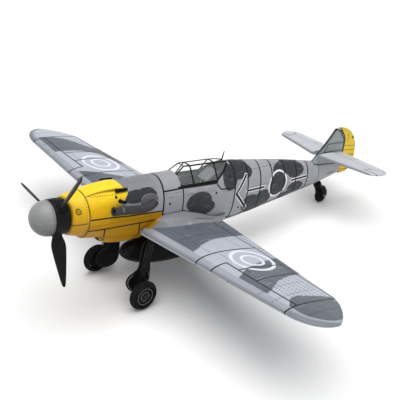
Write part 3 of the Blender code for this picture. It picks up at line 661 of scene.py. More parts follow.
FIN_PANELS = [
    [(160.6, 10.3), (162.9, 14.6), (174.6, 14.6)], [(160.6, 10.3), (175.2, 10.5)],
    [(152.8, 5.4), (158.4, 4.4), (175.6, 3.6)], [(156.5, 5.0), (156.8, -8.0)],
    [(164.5, -1.0), (171.0, -0.6)],
]
STABILISER_LINES = [
    [(2.0, 167.4), (26.6, 167.0), (28.4, 171.0), (33.0, 171.4)],
    [(26.6, 167.0), (25.6, 162.5), (33.0, 164.5)], [(12.0, 167.4), (12.6, 175.0)],
]
LOWER_LINES = [
    [(28.0, 46.0), (28.0, 82.0)], [(42.7, 42.0), (43.5, 78.9)], [(60.0, 44.0), (60.0, 77.0)],
    [(87.6, 44.0), (89.6, 76.0)], [(14.6, 76.6), (43.1, 75.0), (89.4, 70.9)],
    [(12.0, 60.0), (88.0, 58.0)],
]


def dotted(p, across, along, centre, start, end, pitch=1.1, half=0.16):
    """A row of small rivets."""
    beat = p.math("SINE", p.math("MULTIPLY", along, 2 * math.pi / pitch))
    return p.both(p.near(across, centre, half, 0.1), p.between(along, start, end),
                  p.above(beat, 0.1, 0.4))


def plastic_relief(p, lines, raised=None):
    """Moulded surface: fine grain, with sunk panel lines and standing rivets."""
    grain = p.math("MULTIPLY", p.noise(2.2, 3.0), 0.22)
    height = p.math("SUBTRACT", grain, p.math("MULTIPLY", lines, 0.8))
    return p.math("ADD", height, p.math("MULTIPLY", raised, 0.5)) if raised is not None else height


def worn(p, colour, scuff=WHITE, amount=0.16):
    """Faint rubbed streaks and specks."""
    specks = p.above(p.noise(1.5, 4.0, 0.7), 0.66, 0.05)
    streaks = p.above(p.noise(0.35, 4.0, 0.65, stretch=(1.0, 0.35, 2.0)), 0.63, 0.06)
    return p.mix(p.math("MULTIPLY", p.any(specks, streaks), amount), colour, scuff)


def yellow_with_painted_shade(p):
    """Sprayed yellow with painted shade: darker and browner low down and paler on top, as the light
    falls, and soft stains in streaks.
    """
    # Painted shade low down and painted highlight on top
    low = p.below(p.z, 0.0, 5.0)
    high = p.above(p.z, 7.0, 4.0)
    colour = p.mix(p.math("MULTIPLY", high, 0.75), YELLOW, srgb(246, 220, 56))
    colour = p.mix(p.math("MULTIPLY", low, 0.8), colour, srgb(152, 106, 2))
    stain = p.above(p.noise(0.22, 3.0, 0.6, stretch=(1.0, 0.5, 1.6)), 0.56, 0.12)
    colour = p.mix(p.math("MULTIPLY", stain, 0.16), colour, srgb(176, 122, 12))
    return p.shade(colour, 0.06, 0.5)


def satin(p, low=0.36, high=0.52):
    """Roughness of satin plastic, uneven as handling leaves it."""
    return p.node("ShaderNodeMapRange", {0: p.noise(0.5, 3.0), 1: 0.3, 2: 0.7, 3: low,
                                         4: high}).outputs[0]


def fuselage_look(name):
    """Camouflaged side with its panel lines, stripes and disc, and a yellow front."""
    p = Paint(name, specular=0.14)
    flat = p.vector(p.y, p.z)
    y, z = p.wobble(p.y, 0.45, 0.3, 3.0), p.wobble(p.z, 0.45, 0.3, 11.0)
    to_starboard = p.below(p.x, 0.0, 0.05)
    patch_point = p.vector(p.math("MULTIPLY_ADD", to_starboard, 6.5, y),
                           p.math("MULTIPLY_ADD", to_starboard, -2.0, z))
    colour = p.mix(p.blobs(patch_point, SIDE_PATCHES), p.shade(GREY, 0.06, 0.25),
                   p.shade(DARK_GREY, 0.10, 0.3))
    cowl_top = p.both(p.below(y, 52.5, 4.0), p.above(z, 7.5, 4.0))
    colour = p.mix(p.math("MULTIPLY", cowl_top, 0.36), colour, DARK_GREY)
    edge = p.curve(z, [(-16, 53.2), (-2.2, 53.2), (-1.2, 51.0), (0.2, 42.0), (1.6, 34.0), (3.2, 31.2),
                       (5.4, 32.2), (6.7, 34.3), (8.6, 35.8), (10.6, 34.4), (13.0, 33.4)], -20.0, 60.0)
    front = p.below(y, edge, 0.3)
    colour = p.mix(front, colour, yellow_with_painted_shade(p))

    frames = p.each(FRAME_LINES_Y, lambda station: p.near(p.y, station, 0.4, 0.14))
    lines = p.any(p.lines(flat, SIDE_LINES, 0.31), frames)
    rivets = p.each(RIVET_ROWS, lambda row: dotted(p, p.z, p.y, *row))
    dots = p.each(SMALL_DOTS, lambda dot: p.disc(flat, dot, 0.55))
    bumps = p.each(SMALL_BUMPS, lambda bump: p.ring(flat, bump, 0.8, 0.2))
    gun_line = p.line(p.vector(p.math("ABSOLUTE", p.x), p.y), (4.0, 16.0), (4.4, 31.5), 0.25)
    gun_line = p.both(gun_line, p.above(p.z, 5.0))
    sill = p.line(flat, (61.6, 7.2), (83.6, 7.2), 0.5)

    white = p.any(p.lines(flat, [CHEVRON], 0.95), p.lines(flat, BARS, 0.85),
                  p.ring(flat, DISC, DISC_RADIUS, 0.42))
    colour = p.mix(white, colour, WHITE)
    colour = p.mix(p.disc(flat, DISC, DISC_RADIUS - 0.45), colour, p.shade(srgb(52, 53, 58), 0.1, 0.6))
    black = p.any(p.lines(flat, [CHEVRON], 0.58), p.lines(flat, BARS, 0.48), sill, dots)
    colour = worn(p, colour, amount=0.10)
    colour = p.mix(p.any(lines, black), colour, INK)
    colour = p.mix(p.math("MULTIPLY", gun_line, 0.75), colour, OCHRE)
    colour = p.mix(p.math("MULTIPLY", rivets, 0.7), colour, INK)
    return p.finish(colour, satin(p), plastic_relief(p, p.any(frames, dots), bumps))


def cowl_look():
    """Yellow of the nose ring and the chin scoop."""
    p = Paint("yellow_cowl", specular=0.25)
    flat = p.vector(p.y, p.z)
    upper = p.above(p.z, -11.4, 0.3)
    lines = p.any(p.lines(flat, COWL_LINES, 0.2), p.near(p.y, 17.35, 0.2), p.near(p.y, 28.2, 0.17))
    hatch = p.both(p.ring(flat, (13.1, 4.1), 0.95, 0.2), p.above(p.math("ABSOLUTE", p.x), 3.0))
    inside = p.both(p.disc(flat, (13.1, 4.1), 0.8), p.above(p.math("ABSOLUTE", p.x), 3.0))
    rivets = p.both(dotted(p, p.y, p.z, 16.4, -8.0, 8.0, 0.9), upper)
    colour = worn(p, yellow_with_painted_shade(p), srgb(250, 226, 120), 0.2)
    # Painted shade: the inside of the sunk round port is darkened
    colour = p.mix(p.math("MULTIPLY", inside, 0.5), colour, OCHRE)
    colour = p.mix(p.any(lines, p.math("MULTIPLY", hatch, 0.85)), colour, srgb(48, 36, 16))
    colour = p.mix(p.math("MULTIPLY", rivets, 0.4), colour, OCHRE)
    return p.finish(colour, satin(p), plastic_relief(p, p.any(lines, inside), rivets))


# Edges of a wing's dark bands: root, inner and outer edge of the middle band, inner edge of the
# outer one, as (y, span). The starboard wing has no outer band.
WING_BANDS = {
    1: ([(40, 39.5), (47.9, 37.2), (58, 33.4), (65.7, 31.9), (72, 31.3), (86, 30.8)],
        [(40, 64.5), (49.4, 61.8), (53.8, 59.4), (60.5, 57.3), (75, 54.1), (86, 52)],
        [(40, 79), (50.8, 75.7), (63.4, 70.1), (74.4, 68.9), (86, 68)],
        [(40, 90), (47.2, 87.8), (55.4, 82.8), (62.1, 84.5), (72, 88), (86, 89)]),
    -1: ([(40, 52), (50, 47), (60, 40), (70, 35), (86, 31)],
         [(40, 72), (48, 71), (53.5, 70.1), (63, 68.7), (70.8, 63.4), (73.9, 54.7), (86, 48)],
         [(40, 90), (47.6, 89.4), (54.9, 88.2), (62, 84.8), (70.4, 74.4), (86, 68)]),
}
TIP_PANEL = dict(x=88.0, y=59.4, reach_x=12.9, reach_y=10.6)


def wing_bands(p, span, side):
    """The dark bands of the upper side."""
    shaken = p.wobble(span, 0.5, 0.4, 5.0)
    root, inner, outer, *last = [p.curve(p.y, edge, 0.0, 100.0) for edge in WING_BANDS[side]]
    dark = p.any(p.below(shaken, root, 0.3), p.between(shaken, inner, outer, 0.3))
    return p.any(dark, p.above(shaken, last[0], 0.3)) if last else dark


def wing_colour(p, span, past_lead, side):
    """Two greys, with a paler leading edge and tip rim, and painted shade along the very edge of both,
    where they round away underneath.
    """
    dark = p.both(wing_bands(p, span, side), p.above(past_lead, 3.0, 0.35))
    reach_x, reach_y = TIP_PANEL["reach_x"], TIP_PANEL["reach_y"]
    unit = p.vector(p.math("MULTIPLY_ADD", span, 1 / reach_x, -TIP_PANEL["x"] / reach_x),
                    p.math("MULTIPLY_ADD", p.y, 1 / reach_y, -TIP_PANEL["y"] / reach_y))
    tip_reach = p.node("ShaderNodeVectorMath", {0: unit}, operation="LENGTH").outputs["Value"]
    in_tip = p.any(p.below(span, TIP_PANEL["x"], 0.1), p.below(tip_reach, 1.0, 0.03))
    colour = p.mix(dark, p.shade(WING_GREY, 0.05, 0.2), p.shade(WING_DARK, 0.07, 0.25))
    colour = p.mix(in_tip, WING_EDGE, colour)
    colour = p.mix(p.below(past_lead, 3.0, 0.35), colour, WING_EDGE)
    # Painted shade along the rounded leading edge and the outer tip rim
    tip_edge_shade = p.both(p.above(tip_reach, 1.1, 0.06), p.above(span, TIP_PANEL["x"], 1.0))
    rim = p.any(p.below(past_lead, 0.5, 0.9), tip_edge_shade)
    return p.mix(p.math("MULTIPLY", rim, 0.7), colour, WING_EDGE_SHADE)


def wing_look(name, side):
    """Upper side of a wing: camouflage, panel lines, rivet rows and a plain ring marking."""
    p = Paint(name, specular=0.45)
    span = p.math("ABSOLUTE", p.x)
    flat = p.vector(span, p.y)
    lead = p.math("MULTIPLY_ADD", span, WING_LE_SLOPE, WING_ROOT_LE_Y - WING_LE_SLOPE * WING_ROOT_X)
    past_lead = p.math("SUBTRACT", p.y, lead)
    colour = wing_colour(p, span, past_lead, side)

    lines = p.lines(flat, WING_LINES, 0.34)
    inside = p.both(p.above(past_lead, 4.0), p.below(span, 87.0))
    rows = p.each(WING_RIVET_ROWS, lambda row: dotted(p, p.y, span, *row, 1.5, 0.26))
    ribs = p.each(WING_RIVET_RIBS, lambda row: dotted(p, span, p.y, *row, 1.5, 0.26))
    behind_hinge = p.above(p.y, p.math("MULTIPLY_ADD", span, -0.062, 78.2))
    slats = p.both(p.above(p.math("SINE", p.math("MULTIPLY", span, 2 * math.pi / 2.1)), 0.82, 0.1),
                   behind_hinge, p.above(span, 44.0), p.below(span, 88.0))
    marking = p.any(p.ring(flat, WING_MARK, 8.6, 0.75), p.ring(flat, WING_MARK, 4.4, 0.6))
    step_ring = p.both(p.ring(flat, (12.9, 58.8), 0.9, 0.3), p.above(p.x, 0.0))
    dent = p.any(p.disc(flat, (18.9, 58.8), 0.5), step_ring)
    colour = p.mix(p.math("MULTIPLY", marking, 0.9), colour, srgb(222, 226, 236))
    colour = worn(p, colour, amount=0.12)
    colour = p.mix(p.any(lines, dent), colour, INK)
    marks = p.any(rows, ribs, p.math("MULTIPLY", slats, 0.8))
    colour = p.mix(p.math("MULTIPLY", marks, 0.7), colour, INK)
    height = plastic_relief(p, p.any(lines, dent), p.both(p.any(rows, ribs), inside))
    return p.finish(colour, satin(p, 0.34, 0.5), height)


def underside_look():
    """Plain pale grey below the wings, with panel lines and a smoky streak behind the well."""
    p = Paint("wing_underside", specular=0.45)
    span = p.math("ABSOLUTE", p.x)
    flat = p.vector(span, p.y)
    lines = p.lines(flat, LOWER_LINES, 0.2)
    rows = p.each((50.0, 66.0, 72.0), lambda y: dotted(p, p.y, span, y, 13.0, 86.0, 1.1))
    smoke = p.both(p.above(p.noise(0.25, 3.0, stretch=(1.0, 0.3, 1.0)), 0.48, 0.15),
                   p.near(span, 38.0, 4.0, 6.0), p.above(p.y, 60.0, 6.0))
    colour = p.mix(p.math("MULTIPLY", smoke, 0.35), p.shade(srgb(158, 164, 172), 0.05, 0.25),
                   srgb(92, 90, 88))
    colour = worn(p, colour, amount=0.12)
    colour = p.mix(lines, colour, INK)
    colour = p.mix(p.math("MULTIPLY", rows, 0.4), colour, INK)
    return p.finish(colour, satin(p), plastic_relief(p, lines, rows))


def fillet_look():
    """Wing root fairing: pale grey with a yellow front."""
    p = Paint("root_fairing", specular=0.45)
    y = p.wobble(p.y, 0.6, 0.5, 2.0)
    inner_edge = p.math("MULTIPLY_ADD", p.math("ABSOLUTE", p.x), -2.7, 77.7)
    front = p.below(y, inner_edge, 0.4)
    slot = p.line(p.vector(p.y, p.math("ABSOLUTE", p.x)), (69.5, 11.9), (79.5, 12.6), 0.4)
    colour = p.mix(front, p.shade(srgb(124, 126, 132), 0.06, 0.3), yellow_with_painted_shade(p))
    colour = p.mix(p.math("MULTIPLY", slot, 0.6), worn(p, colour), INK)
    return p.finish(colour, satin(p), plastic_relief(p, slot))


def tail_look():
    """Fin and tail cone: greenish grey, with heavy black outlines."""
    p = Paint("tail_grey", specular=0.45)
    flat = p.vector(p.y, p.z)
    on_fin = p.below(p.math("ABSOLUTE", p.x), 1.6, 0.2)
    fin_lines = p.lines(flat, FIN_OUTLINE, 0.42)
    panel = p.lines(flat, FIN_PANELS, 0.22)
    lines = p.any(p.both(fin_lines, on_fin), panel)
    colour = p.mix(p.below(p.z, 4.0, 0.5), p.shade(TAIL_GREY, 0.07, 0.3),
                   p.shade(srgb(146, 149, 154), 0.06, 0.3))
    colour = worn(p, colour, amount=0.14)
    colour = p.mix(lines, colour, INK)
    return p.finish(colour, satin(p), plastic_relief(p, lines))


def rudder_look():
    """Yellow rudder with rib lines, a tab and a dark hinge line."""
    p = Paint("rudder_yellow", specular=0.45)
    flat = p.vector(p.y, p.z)
    ribs = p.each((12.3, 9.9, 7.6, 1.2, -0.8), lambda z: p.line(flat, (175.5, z), (186.5, z - 0.7), 0.22))
    tab = p.lines(flat, [[(178.0, 19.0), (178.9, 16.6), (178.7, 14.2)], [(183.0, 6.4), (186.0, 6.0)],
                         [(183.0, 1.4), (183.0, 6.4)]], 0.2)
    mark = p.disc(flat, (182.2, 16.6), 0.7)
    hinge = p.lines(flat, [[(170.4, 22.4), (173.3, 19.8), (176.0, 16.4), (176.4, 13.0), (176.4, -2.6)]],
                    0.32)
    # Painted shade: darker yellow towards the bottom
    colour = p.mix(p.below(p.z, 3.0, 6.0), srgb(222, 190, 34), srgb(204, 164, 24))
    colour = worn(p, p.shade(colour, 0.08, 0.4), srgb(244, 222, 130), 0.18)
    colour = p.mix(p.math("MULTIPLY", ribs, 0.75), colour, OCHRE)
    colour = p.mix(p.any(p.math("MULTIPLY", tab, 0.8), mark, hinge), colour, INK)
    return p.finish(colour, satin(p), plastic_relief(p, p.any(ribs, tab, hinge)))


def stabiliser_look():
    """Pale grey tailplane, with painted shade along its rounded leading edge."""
    p = Paint("stabiliser_grey", specular=0.45)
    span = p.math("ABSOLUTE", p.x)
    flat = p.vector(span, p.y)
    lines = p.lines(flat, STABILISER_LINES, 0.2)
    # Painted shade: a dark band along the rounded leading edge
    edge = p.below(p.y, p.math("MULTIPLY_ADD", span, 0.205, 155.4), 0.2)
    dots = p.any(dotted(p, p.y, span, 164.4, 4.0, 25.0, 0.9, 0.14),
                 dotted(p, p.y, span, 170.6, 4.0, 26.0, 0.9, 0.14))
    colour = worn(p, p.shade(srgb(178, 181, 188), 0.05, 0.25), amount=0.14)
    colour = p.mix(p.math("MULTIPLY", edge, 0.55), colour, srgb(70, 72, 77))
    colour = p.mix(lines, colour, INK)
    colour = p.mix(p.math("MULTIPLY", dots, 0.45), colour, INK)
    return p.finish(colour, satin(p), plastic_relief(p, lines, dots))


def plain_plastic(name, colour, low=0.40, high=0.56, scuff=srgb(104, 104, 106), amount=0.10,
                  specular=0.12):
    """Self-coloured satin plastic with mould grain and rubbed specks."""
    p = Paint(name, specular=specular)
    paint = worn(p, p.shade(colour, 0.14, 0.45), scuff, amount)
    grain = p.math("ADD", p.math("MULTIPLY", p.noise(1.2, 4.0), 0.5),
                   p.math("MULTIPLY", p.noise(6.0, 2.0), 0.2))
    return p.finish(paint, satin(p, low, high), grain, 0.00008, 0.5)


def spinner_look():
    """Grey cap with painted shade: paler on top and darker below, as the light falls."""
    p = Paint("spinner_grey", specular=0.4)
    base_line = p.near(p.y, SPINNER_BASE_Y - 0.55, 0.16)
    # Painted light: light grey on top, dark grey below
    height = p.above(p.z, 0.0, 8.0)
    grey = p.mix(height, srgb(70, 72, 72), srgb(140, 142, 141))
    colour = worn(p, p.shade(grey, 0.07, 0.9, 4.0), srgb(160, 162, 164), 0.2)
    colour = p.mix(p.math("MULTIPLY", base_line, 0.6), colour, INK)
    return p.finish(colour, satin(p, 0.32, 0.46), plastic_relief(p, base_line))


def rubber_look():
    """Matt black tyre with fine tread dust in the grooves."""
    p = Paint("tyre_rubber", specular=0.1)
    dust = p.above(p.noise(0.9, 4.0, 0.7), 0.56, 0.12)
    colour = p.mix(p.math("MULTIPLY", dust, 0.12), p.shade(srgb(12, 12, 12), 0.15, 1.0), srgb(96, 93, 88))
    return p.finish(colour, satin(p, 0.6, 0.8), p.noise(2.5, 4.0), 0.00015, 0.5)


def steel_look():
    """Bright drawn steel of the pins."""
    p = Paint("pin_steel", metallic=1.0)
    brushed = p.noise(1.5, 4.0, 0.7, stretch=(0.2, 3.0, 3.0))
    colour = p.mix(brushed, srgb(150, 150, 152), srgb(202, 202, 204))
    return p.finish(colour, satin(p, 0.28, 0.45), brushed, 0.00004, 0.4)


def glass_look():
    """Clear styrene: faint moulding ripples and a few hairline scratches."""
    p = Paint("clear_styrene", specular=0.5)
    p.shader.inputs["Alpha"].default_value = 0.06
    scratch = p.above(p.noise(1.2, 2.0, 0.5, stretch=(1.0, 0.15, 3.0)), 0.7, 0.03)
    rough = p.math("MULTIPLY_ADD", scratch, 0.2, 0.03)
    colour = p.mix(p.noise(0.3, 2.0), srgb(240, 246, 248), srgb(250, 252, 252))
    return p.finish(colour, rough)


def floor_look():
    """Plain pale studio floor."""
    p = Paint("floor_white", specular=0.2)
    colour = p.mix(p.noise(8.0, 3.0), srgb(234, 234, 234), srgb(239, 239, 239))
    return p.finish(colour, 0.6)


# ---- fuselage -------------------------------------------------------------------------------
def section(y):
    """Half width, middle, top, bottom and the two roundnesses at a station."""
    return smooth_row(FUSELAGE, y)


def fuselage_point(y, angle, inset, side):
    """Point on the rounded section at an angle from level."""
    half, mid, top, bottom, round_up, round_low = section(y)
    power = 2 / (round_up if math.sin(angle) >= 0 else round_low)
    height = (top - mid if math.sin(angle) >= 0 else mid - bottom) - inset
    x = (half - inset) * abs(math.cos(angle)) ** power
    z = mid + math.copysign(height * abs(math.sin(angle)) ** power, math.sin(angle))
    return (side * max(x, SEAM), y, z)


def sill_angle(y):
    """Angle round the section at which the cockpit's opening starts."""
    _, mid, top, _, round_up, _ = section(y)
    rise = max(0.0, (y - SILL_KINK_Y) / (COCKPIT_Y[1] - SILL_KINK_Y))
    sill = SILL_Z + rise * (SILL_REAR_Z - SILL_Z)
    return math.asin(min(1.0, ((sill - mid) / (top - mid)) ** (round_up / 2)))


def gun_trough(x, y, z):
    """How deep the surface is pressed in towards the gun barrel's trough."""
    along = min(max((y - 19.0) / 10.0, 0.0), 1.0) * min(max((37.0 - y) / 1.2, 0.0), 1.0)
    off = math.hypot(abs(x) - GUN[0], z - GUN[1] - 0.4)
    return 1.15 * along * math.exp(-(off / 1.15) ** 2)


def cowl_ridge(x, y, z):
    """The raised flat strip inboard of each gun."""
    along = min(max((y - 17.9) / 2.0, 0.0), 1.0) * min(max((34.0 - y) / 2.5, 0.0), 1.0)
    across = min(1.0, max(0.0, 1 - (abs(x) - 4.0) / 0.5))
    return 0.32 * along * across if z > 4 else 0.0


def side_scoop(y, z):
    """Three small teardrop blisters on the side."""
    lift = 0.0
    for centre_y, centre_z, half_length in BLISTERS:
        off = ((y - centre_y) / half_length) ** 2 + ((z - centre_z) / 0.8) ** 2
        lift = max(lift, 0.5 * max(0.0, 1 - off))
    return lift


def fuselage_half(side_name, side, look):
    """One thin shell from the cowling to the tail joint, open along the cockpit."""
    first, last = COCKPIT_Y
    stations = (spread(COWL_Y, first - 0.6, 0.7) + [first - 0.05] + spread(first, last, 1.0)
                + [last + 0.1] + spread(last + 0.6, TAIL_JOINT_Y, 1.5))
    steps = 84
    outer, inner = [], []
    for y in stations:
        top = sill_angle(y) if COCKPIT_Y[0] <= y <= COCKPIT_Y[1] else math.pi / 2
        angles = [-math.pi / 2 + (top + math.pi / 2) * k / steps for k in range(steps + 1)]
        line = []
        for a in angles:
            x, y, z = fuselage_point(y, a, 0.0, side)
            normal = Vector((side * math.cos(a), 0, math.sin(a)))
            shift = cowl_ridge(x, y, z) + side_scoop(y, z) - gun_trough(x, y, z)
            line.append(Vector((x, y, z)) + normal * shift)
            if abs(x) <= SEAM:
                line[-1].x = x
        outer.append(line)
        inner.append([fuselage_point(y, a, 1.2, side) for a in angles])
    piece("fuselage_skin_" + side_name, lambda bm: wall(bm, outer, inner), look,
          replaces=["fuselage_" + side_name])


# ---- wings ----------------------------------------------------------------------------------
def wing_edges(x):
    """y of the leading and trailing edge at a span station."""
    inner = min(x, WING_TIP_START_X)
    lead = WING_ROOT_LE_Y + WING_LE_SLOPE * (inner - WING_ROOT_X)
    trail = WING_ROOT_TE_Y + WING_TE_SLOPE * (inner - WING_ROOT_X)
    if x > WING_TIP_START_X:
        s = min((x - WING_TIP_START_X) / (HALF_SPAN - WING_TIP_START_X), 0.995)
        lead = WING_TIP_CENTRE_Y - (WING_TIP_CENTRE_Y - lead) * math.sqrt(1 - s * s)
        trail = WING_TIP_CENTRE_Y + (trail - WING_TIP_CENTRE_Y) * (1 - s ** 1.35) ** 0.74
    return lead, trail


def foil_height(u, thickness):
    """Half thickness of the section over its chord, at a share u of the chord."""
    return 5 * thickness * (0.2969 * math.sqrt(u) - 0.1260 * u - 0.3516 * u**2
                            + 0.2843 * u**3 - 0.1036 * u**4)


def wing_mid(x):
    """Height of the seam between the wing halves."""
    return WING_ROOT_Z + WING_DIHEDRAL * (x - WING_ROOT_X)


def wing_skin_z(x, y, upper=True):
    """Height of the wing's surface, 0.15 mm above the CAD halves' seam plane as they are."""
    lead, trail = wing_edges(x)
    chord = trail - lead
    share = (x - WING_ROOT_X) / (103.2 - WING_ROOT_X)
    thickness = WING_ROOT_THICKNESS + (WING_TIP_THICKNESS - WING_ROOT_THICKNESS) * share
    u = min(max((y - lead) / chord, 0.0), 1.0)
    swell = 1.06 if upper else 1.04
    return wing_mid(x) + (1 if upper else -1) * (0.15 + swell * chord * foil_height(u, thickness))


def wing_half(side_name, side, upper, look):
    """One moulding of a wing; the lower ones have a wheel well."""
    name = f"wing_{'upper' if upper else 'lower'}_{side_name}"
    stations = spread(WING_ROOT_X, WING_TIP_START_X, 3.0) + [90, 92, 94, 96, 98, 99.5, 100.8, 101.8,
                                                             102.5, 103.0, HALF_SPAN]
    steps = 36

    def build(bm):
        rows = []
        for x in stations:
            lead, trail = wing_edges(x)
            skin, seam = [], []
            for k in range(steps + 1):
                y = lead + (trail - lead) * (1 - math.cos(math.pi * k / steps)) / 2
                skin.append((side * x, y, wing_skin_z(x, y, upper)))
                if 0 < k < steps:
                    seam.append((side * x, y, wing_mid(x) + (SEAM if upper else -SEAM)))
            ends = ((side * x, trail, wing_mid(x) + (SEAM if upper else -SEAM)),
                    (side * x, lead, wing_mid(x) + (SEAM if upper else -SEAM)))
            rows.append(skin + [ends[0]] + seam[::-1] + [ends[1]])
        grid(bm, rows, closed=True, caps=True)
    made = piece(name + "_skin", build, look, replaces=[name])
    if not upper:
        well_x, well_y, radius = WHEEL_WELL
        cut(made, lambda bm: turned(bm, [(radius, -6.0), (radius, 2.6)], (side * well_x, well_y, -10.5),
                                    (0, 0, 1), 48))
    return made


def root_fillet(side_name, side, look):
    """Concave fairing between the fuselage side and the wing's upper skin."""
    # y, and the height where the fairing meets the side; y, and where it meets the wing
    high = [(44.5, -8.4), (48.0, -6.0), (53.4, -3.3), (59.0, -3.0), (64.3, -3.1), (70.0, -4.6),
            (76.0, -6.4), (82.0, -8.5), (88.0, -10.8), (91.5, -12.2)]
    out = [(44.5, 11.0), (48.0, 13.6), (53.4, 16.0), (59.0, 16.8), (64.3, 16.6), (70.0, 15.9),
           (76.0, 15.4), (82.0, 14.6), (88.0, 10.6), (91.5, 7.6)]

    def build(bm):
        rows = []
        for y in spread(44.5, 91.0, 1.0):
            top_z, out_x = smooth_row(high, y)[0], smooth_row(out, y)[0]
            half, mid, _, bottom, _, round_low = section(y)
            top_x = half * max(0.0, 1 - ((mid - top_z) / (mid - bottom)) ** round_low) ** (1 / round_low)
            _, trail = wing_edges(out_x)
            wing_z = wing_skin_z(max(out_x, WING_ROOT_X), min(y, trail), True) + 0.05
            corner = Vector((side * (top_x + 0.5), y, wing_z + 0.25))
            start, end = Vector((side * (top_x + 0.06), y, top_z)), Vector((side * out_x, y, wing_z))
            line = [(1 - t) ** 2 * start + 2 * t * (1 - t) * corner + t * t * end
                    for t in spread(0.0, 1.0, 0.1)]
            base = [Vector((side * (top_x - 0.8), y, top_z - 0.2))] + [
                Vector((side * (top_x - 0.8), y, wing_z - 0.9)), Vector((side * out_x, y, wing_z - 0.5))]
            rows.append(line + base[::-1])
        grid(bm, rows, closed=True, caps=True)
    piece("root_fillet_" + side_name, build, look)


def radiator(side_name, side, look, dark):
    """Cooler bath under the wing, with a meshed intake and outlet flap."""
    def wall_ring(y, drop):
        lead, trail = wing_edges(30.0)
        u = (y - lead) / (trail - lead)
        roof = -0.92 * (trail - lead) * foil_height(u, WING_ROOT_THICKNESS) - 0.5
        ring = []
        for x, low in ((22.2, 0), (40.9, 0), (40.8, 0.7), (40.2, 0.95), (39.4, 1.0), (23.6, 1.0),
                       (22.8, 0.95), (22.3, 0.7)):
            ring.append((side * x, y, wing_mid(x) + roof - low * drop))
        return ring

    def build(bm):
        depths = ((66.1, 2.2), (66.5, 2.45), (68.0, 2.75), (70.0, 2.95), (73.0, 2.85), (76.0, 2.55),
                  (78.9, 1.6))
        grid(bm, [wall_ring(y, drop) for y, drop in depths], closed=True, caps=True)
    made = piece("radiator_" + side_name + "_bath", build, look, replaces=["radiator_" + side_name])
    middle = wing_mid(31.5) - 0.92 * 40 * foil_height(0.62, WING_ROOT_THICKNESS) - 0.5

    def mouth(bm):
        box(bm, (side * 23.6, 65.0, middle - 3.4), (side * 39.4, 67.2, middle - 1.6))

    def grille(bm):
        for k in range(14):
            x = side * (24.4 + k * 1.1)
            box(bm, (x - 0.12, 66.6, middle - 3.3), (x + 0.12, 67.0, middle - 1.7))
    cut(made, mouth)
    piece("radiator_" + side_name + "_grille", grille, dark, smooth=False)


# ---- nose -----------------------------------------------------------------------------------
def nose_cowl(yellow):
    """Yellow ring behind the propeller, turned about the thrust line."""
    profile = [(1.5, 0.0), (7.3, 0.0), (7.62, -0.12), (7.86, -0.4), (8.0, -0.9), (8.3, -2.0),
               (8.62, -3.2), (8.9, -4.4), (9.12, -5.6), (9.25, -6.75), (7.4, -6.85), (7.4, -9.9),
               (1.5, -9.9)]

    def ring(bm):
        turned(bm, profile, (0, NOSE_Y, 0), (0, -1, 0), 72, closed=True)
    piece("nose_cowl", ring, yellow, replaces=["nose_ring"])


def chin_scoop(yellow):
    """Oil cooler scoop under the cowling, with an open mouth."""
    # y, half width, depth below the fuselage
    rows = [(27.1, 3.8, 1.3), (27.6, 4.2, 1.75), (29.0, 4.75, 2.2), (31.0, 5.1, 2.55), (33.0, 5.2, 2.7),
            (36.0, 5.25, 2.6), (38.5, 5.2, 2.4), (42.0, 4.9, 1.8), (46.9, 4.4, 0.9)]

    def chin(bm):
        rings = []
        for y, half, drop in rows:
            top, low = [], []
            for k in range(21):
                x = half * (1 - 2 * k / 20)
                section_half, mid, _, bottom, _, round_low = section(y)
                round_off = (1 - (abs(x) / section_half) ** round_low) ** (1 / round_low)
                base = mid - (mid - bottom) * round_off - 0.2
                top.append((x, y, base + 0.15))
                low.append((x, y, base - 0.1 - drop * (1 - abs(x / half) ** 3.6)))
            rings.append(top + low[::-1])
        grid(bm, rings, closed=True, caps=True)
    scoop = piece("chin_scoop", chin, yellow, replaces=["oil_cooler_fairing"])

    def mouth(bm):
        tube(bm, [(0, 26.0, -12.5), (0, 29.5, -12.9)], 1.0, 20, 2.9)
    cut(scoop, mouth)


def gun_barrels(black):
    """Perforated muzzles in the two troughs on top of the cowling."""
    for side_name, side in SIDES:
        def barrel(bm):
            x, z = side * GUN[0], GUN[1]
            turned(bm, [(0.36, -1.4), (0.36, 0.12), (0.52, 0.2), (0.8, 0.05), (0.8, -0.9), (0.66, -1.0),
                        (0.66, -5.2), (0.3, -5.2)], (x, 30.6, z), (0, -1, 0), 20, closed=True)
            for k in range(3):
                turned(bm, [(0.6, -1.5 - k), (0.78, -1.6 - k), (0.78, -1.9 - k), (0.6, -2.0 - k)],
                       (x, 30.6, z), (0, -1, 0), 20, closed=True)
        piece("gun_barrel_" + side_name + "_detail", barrel, black, replaces=["gun_barrel_" + side_name])


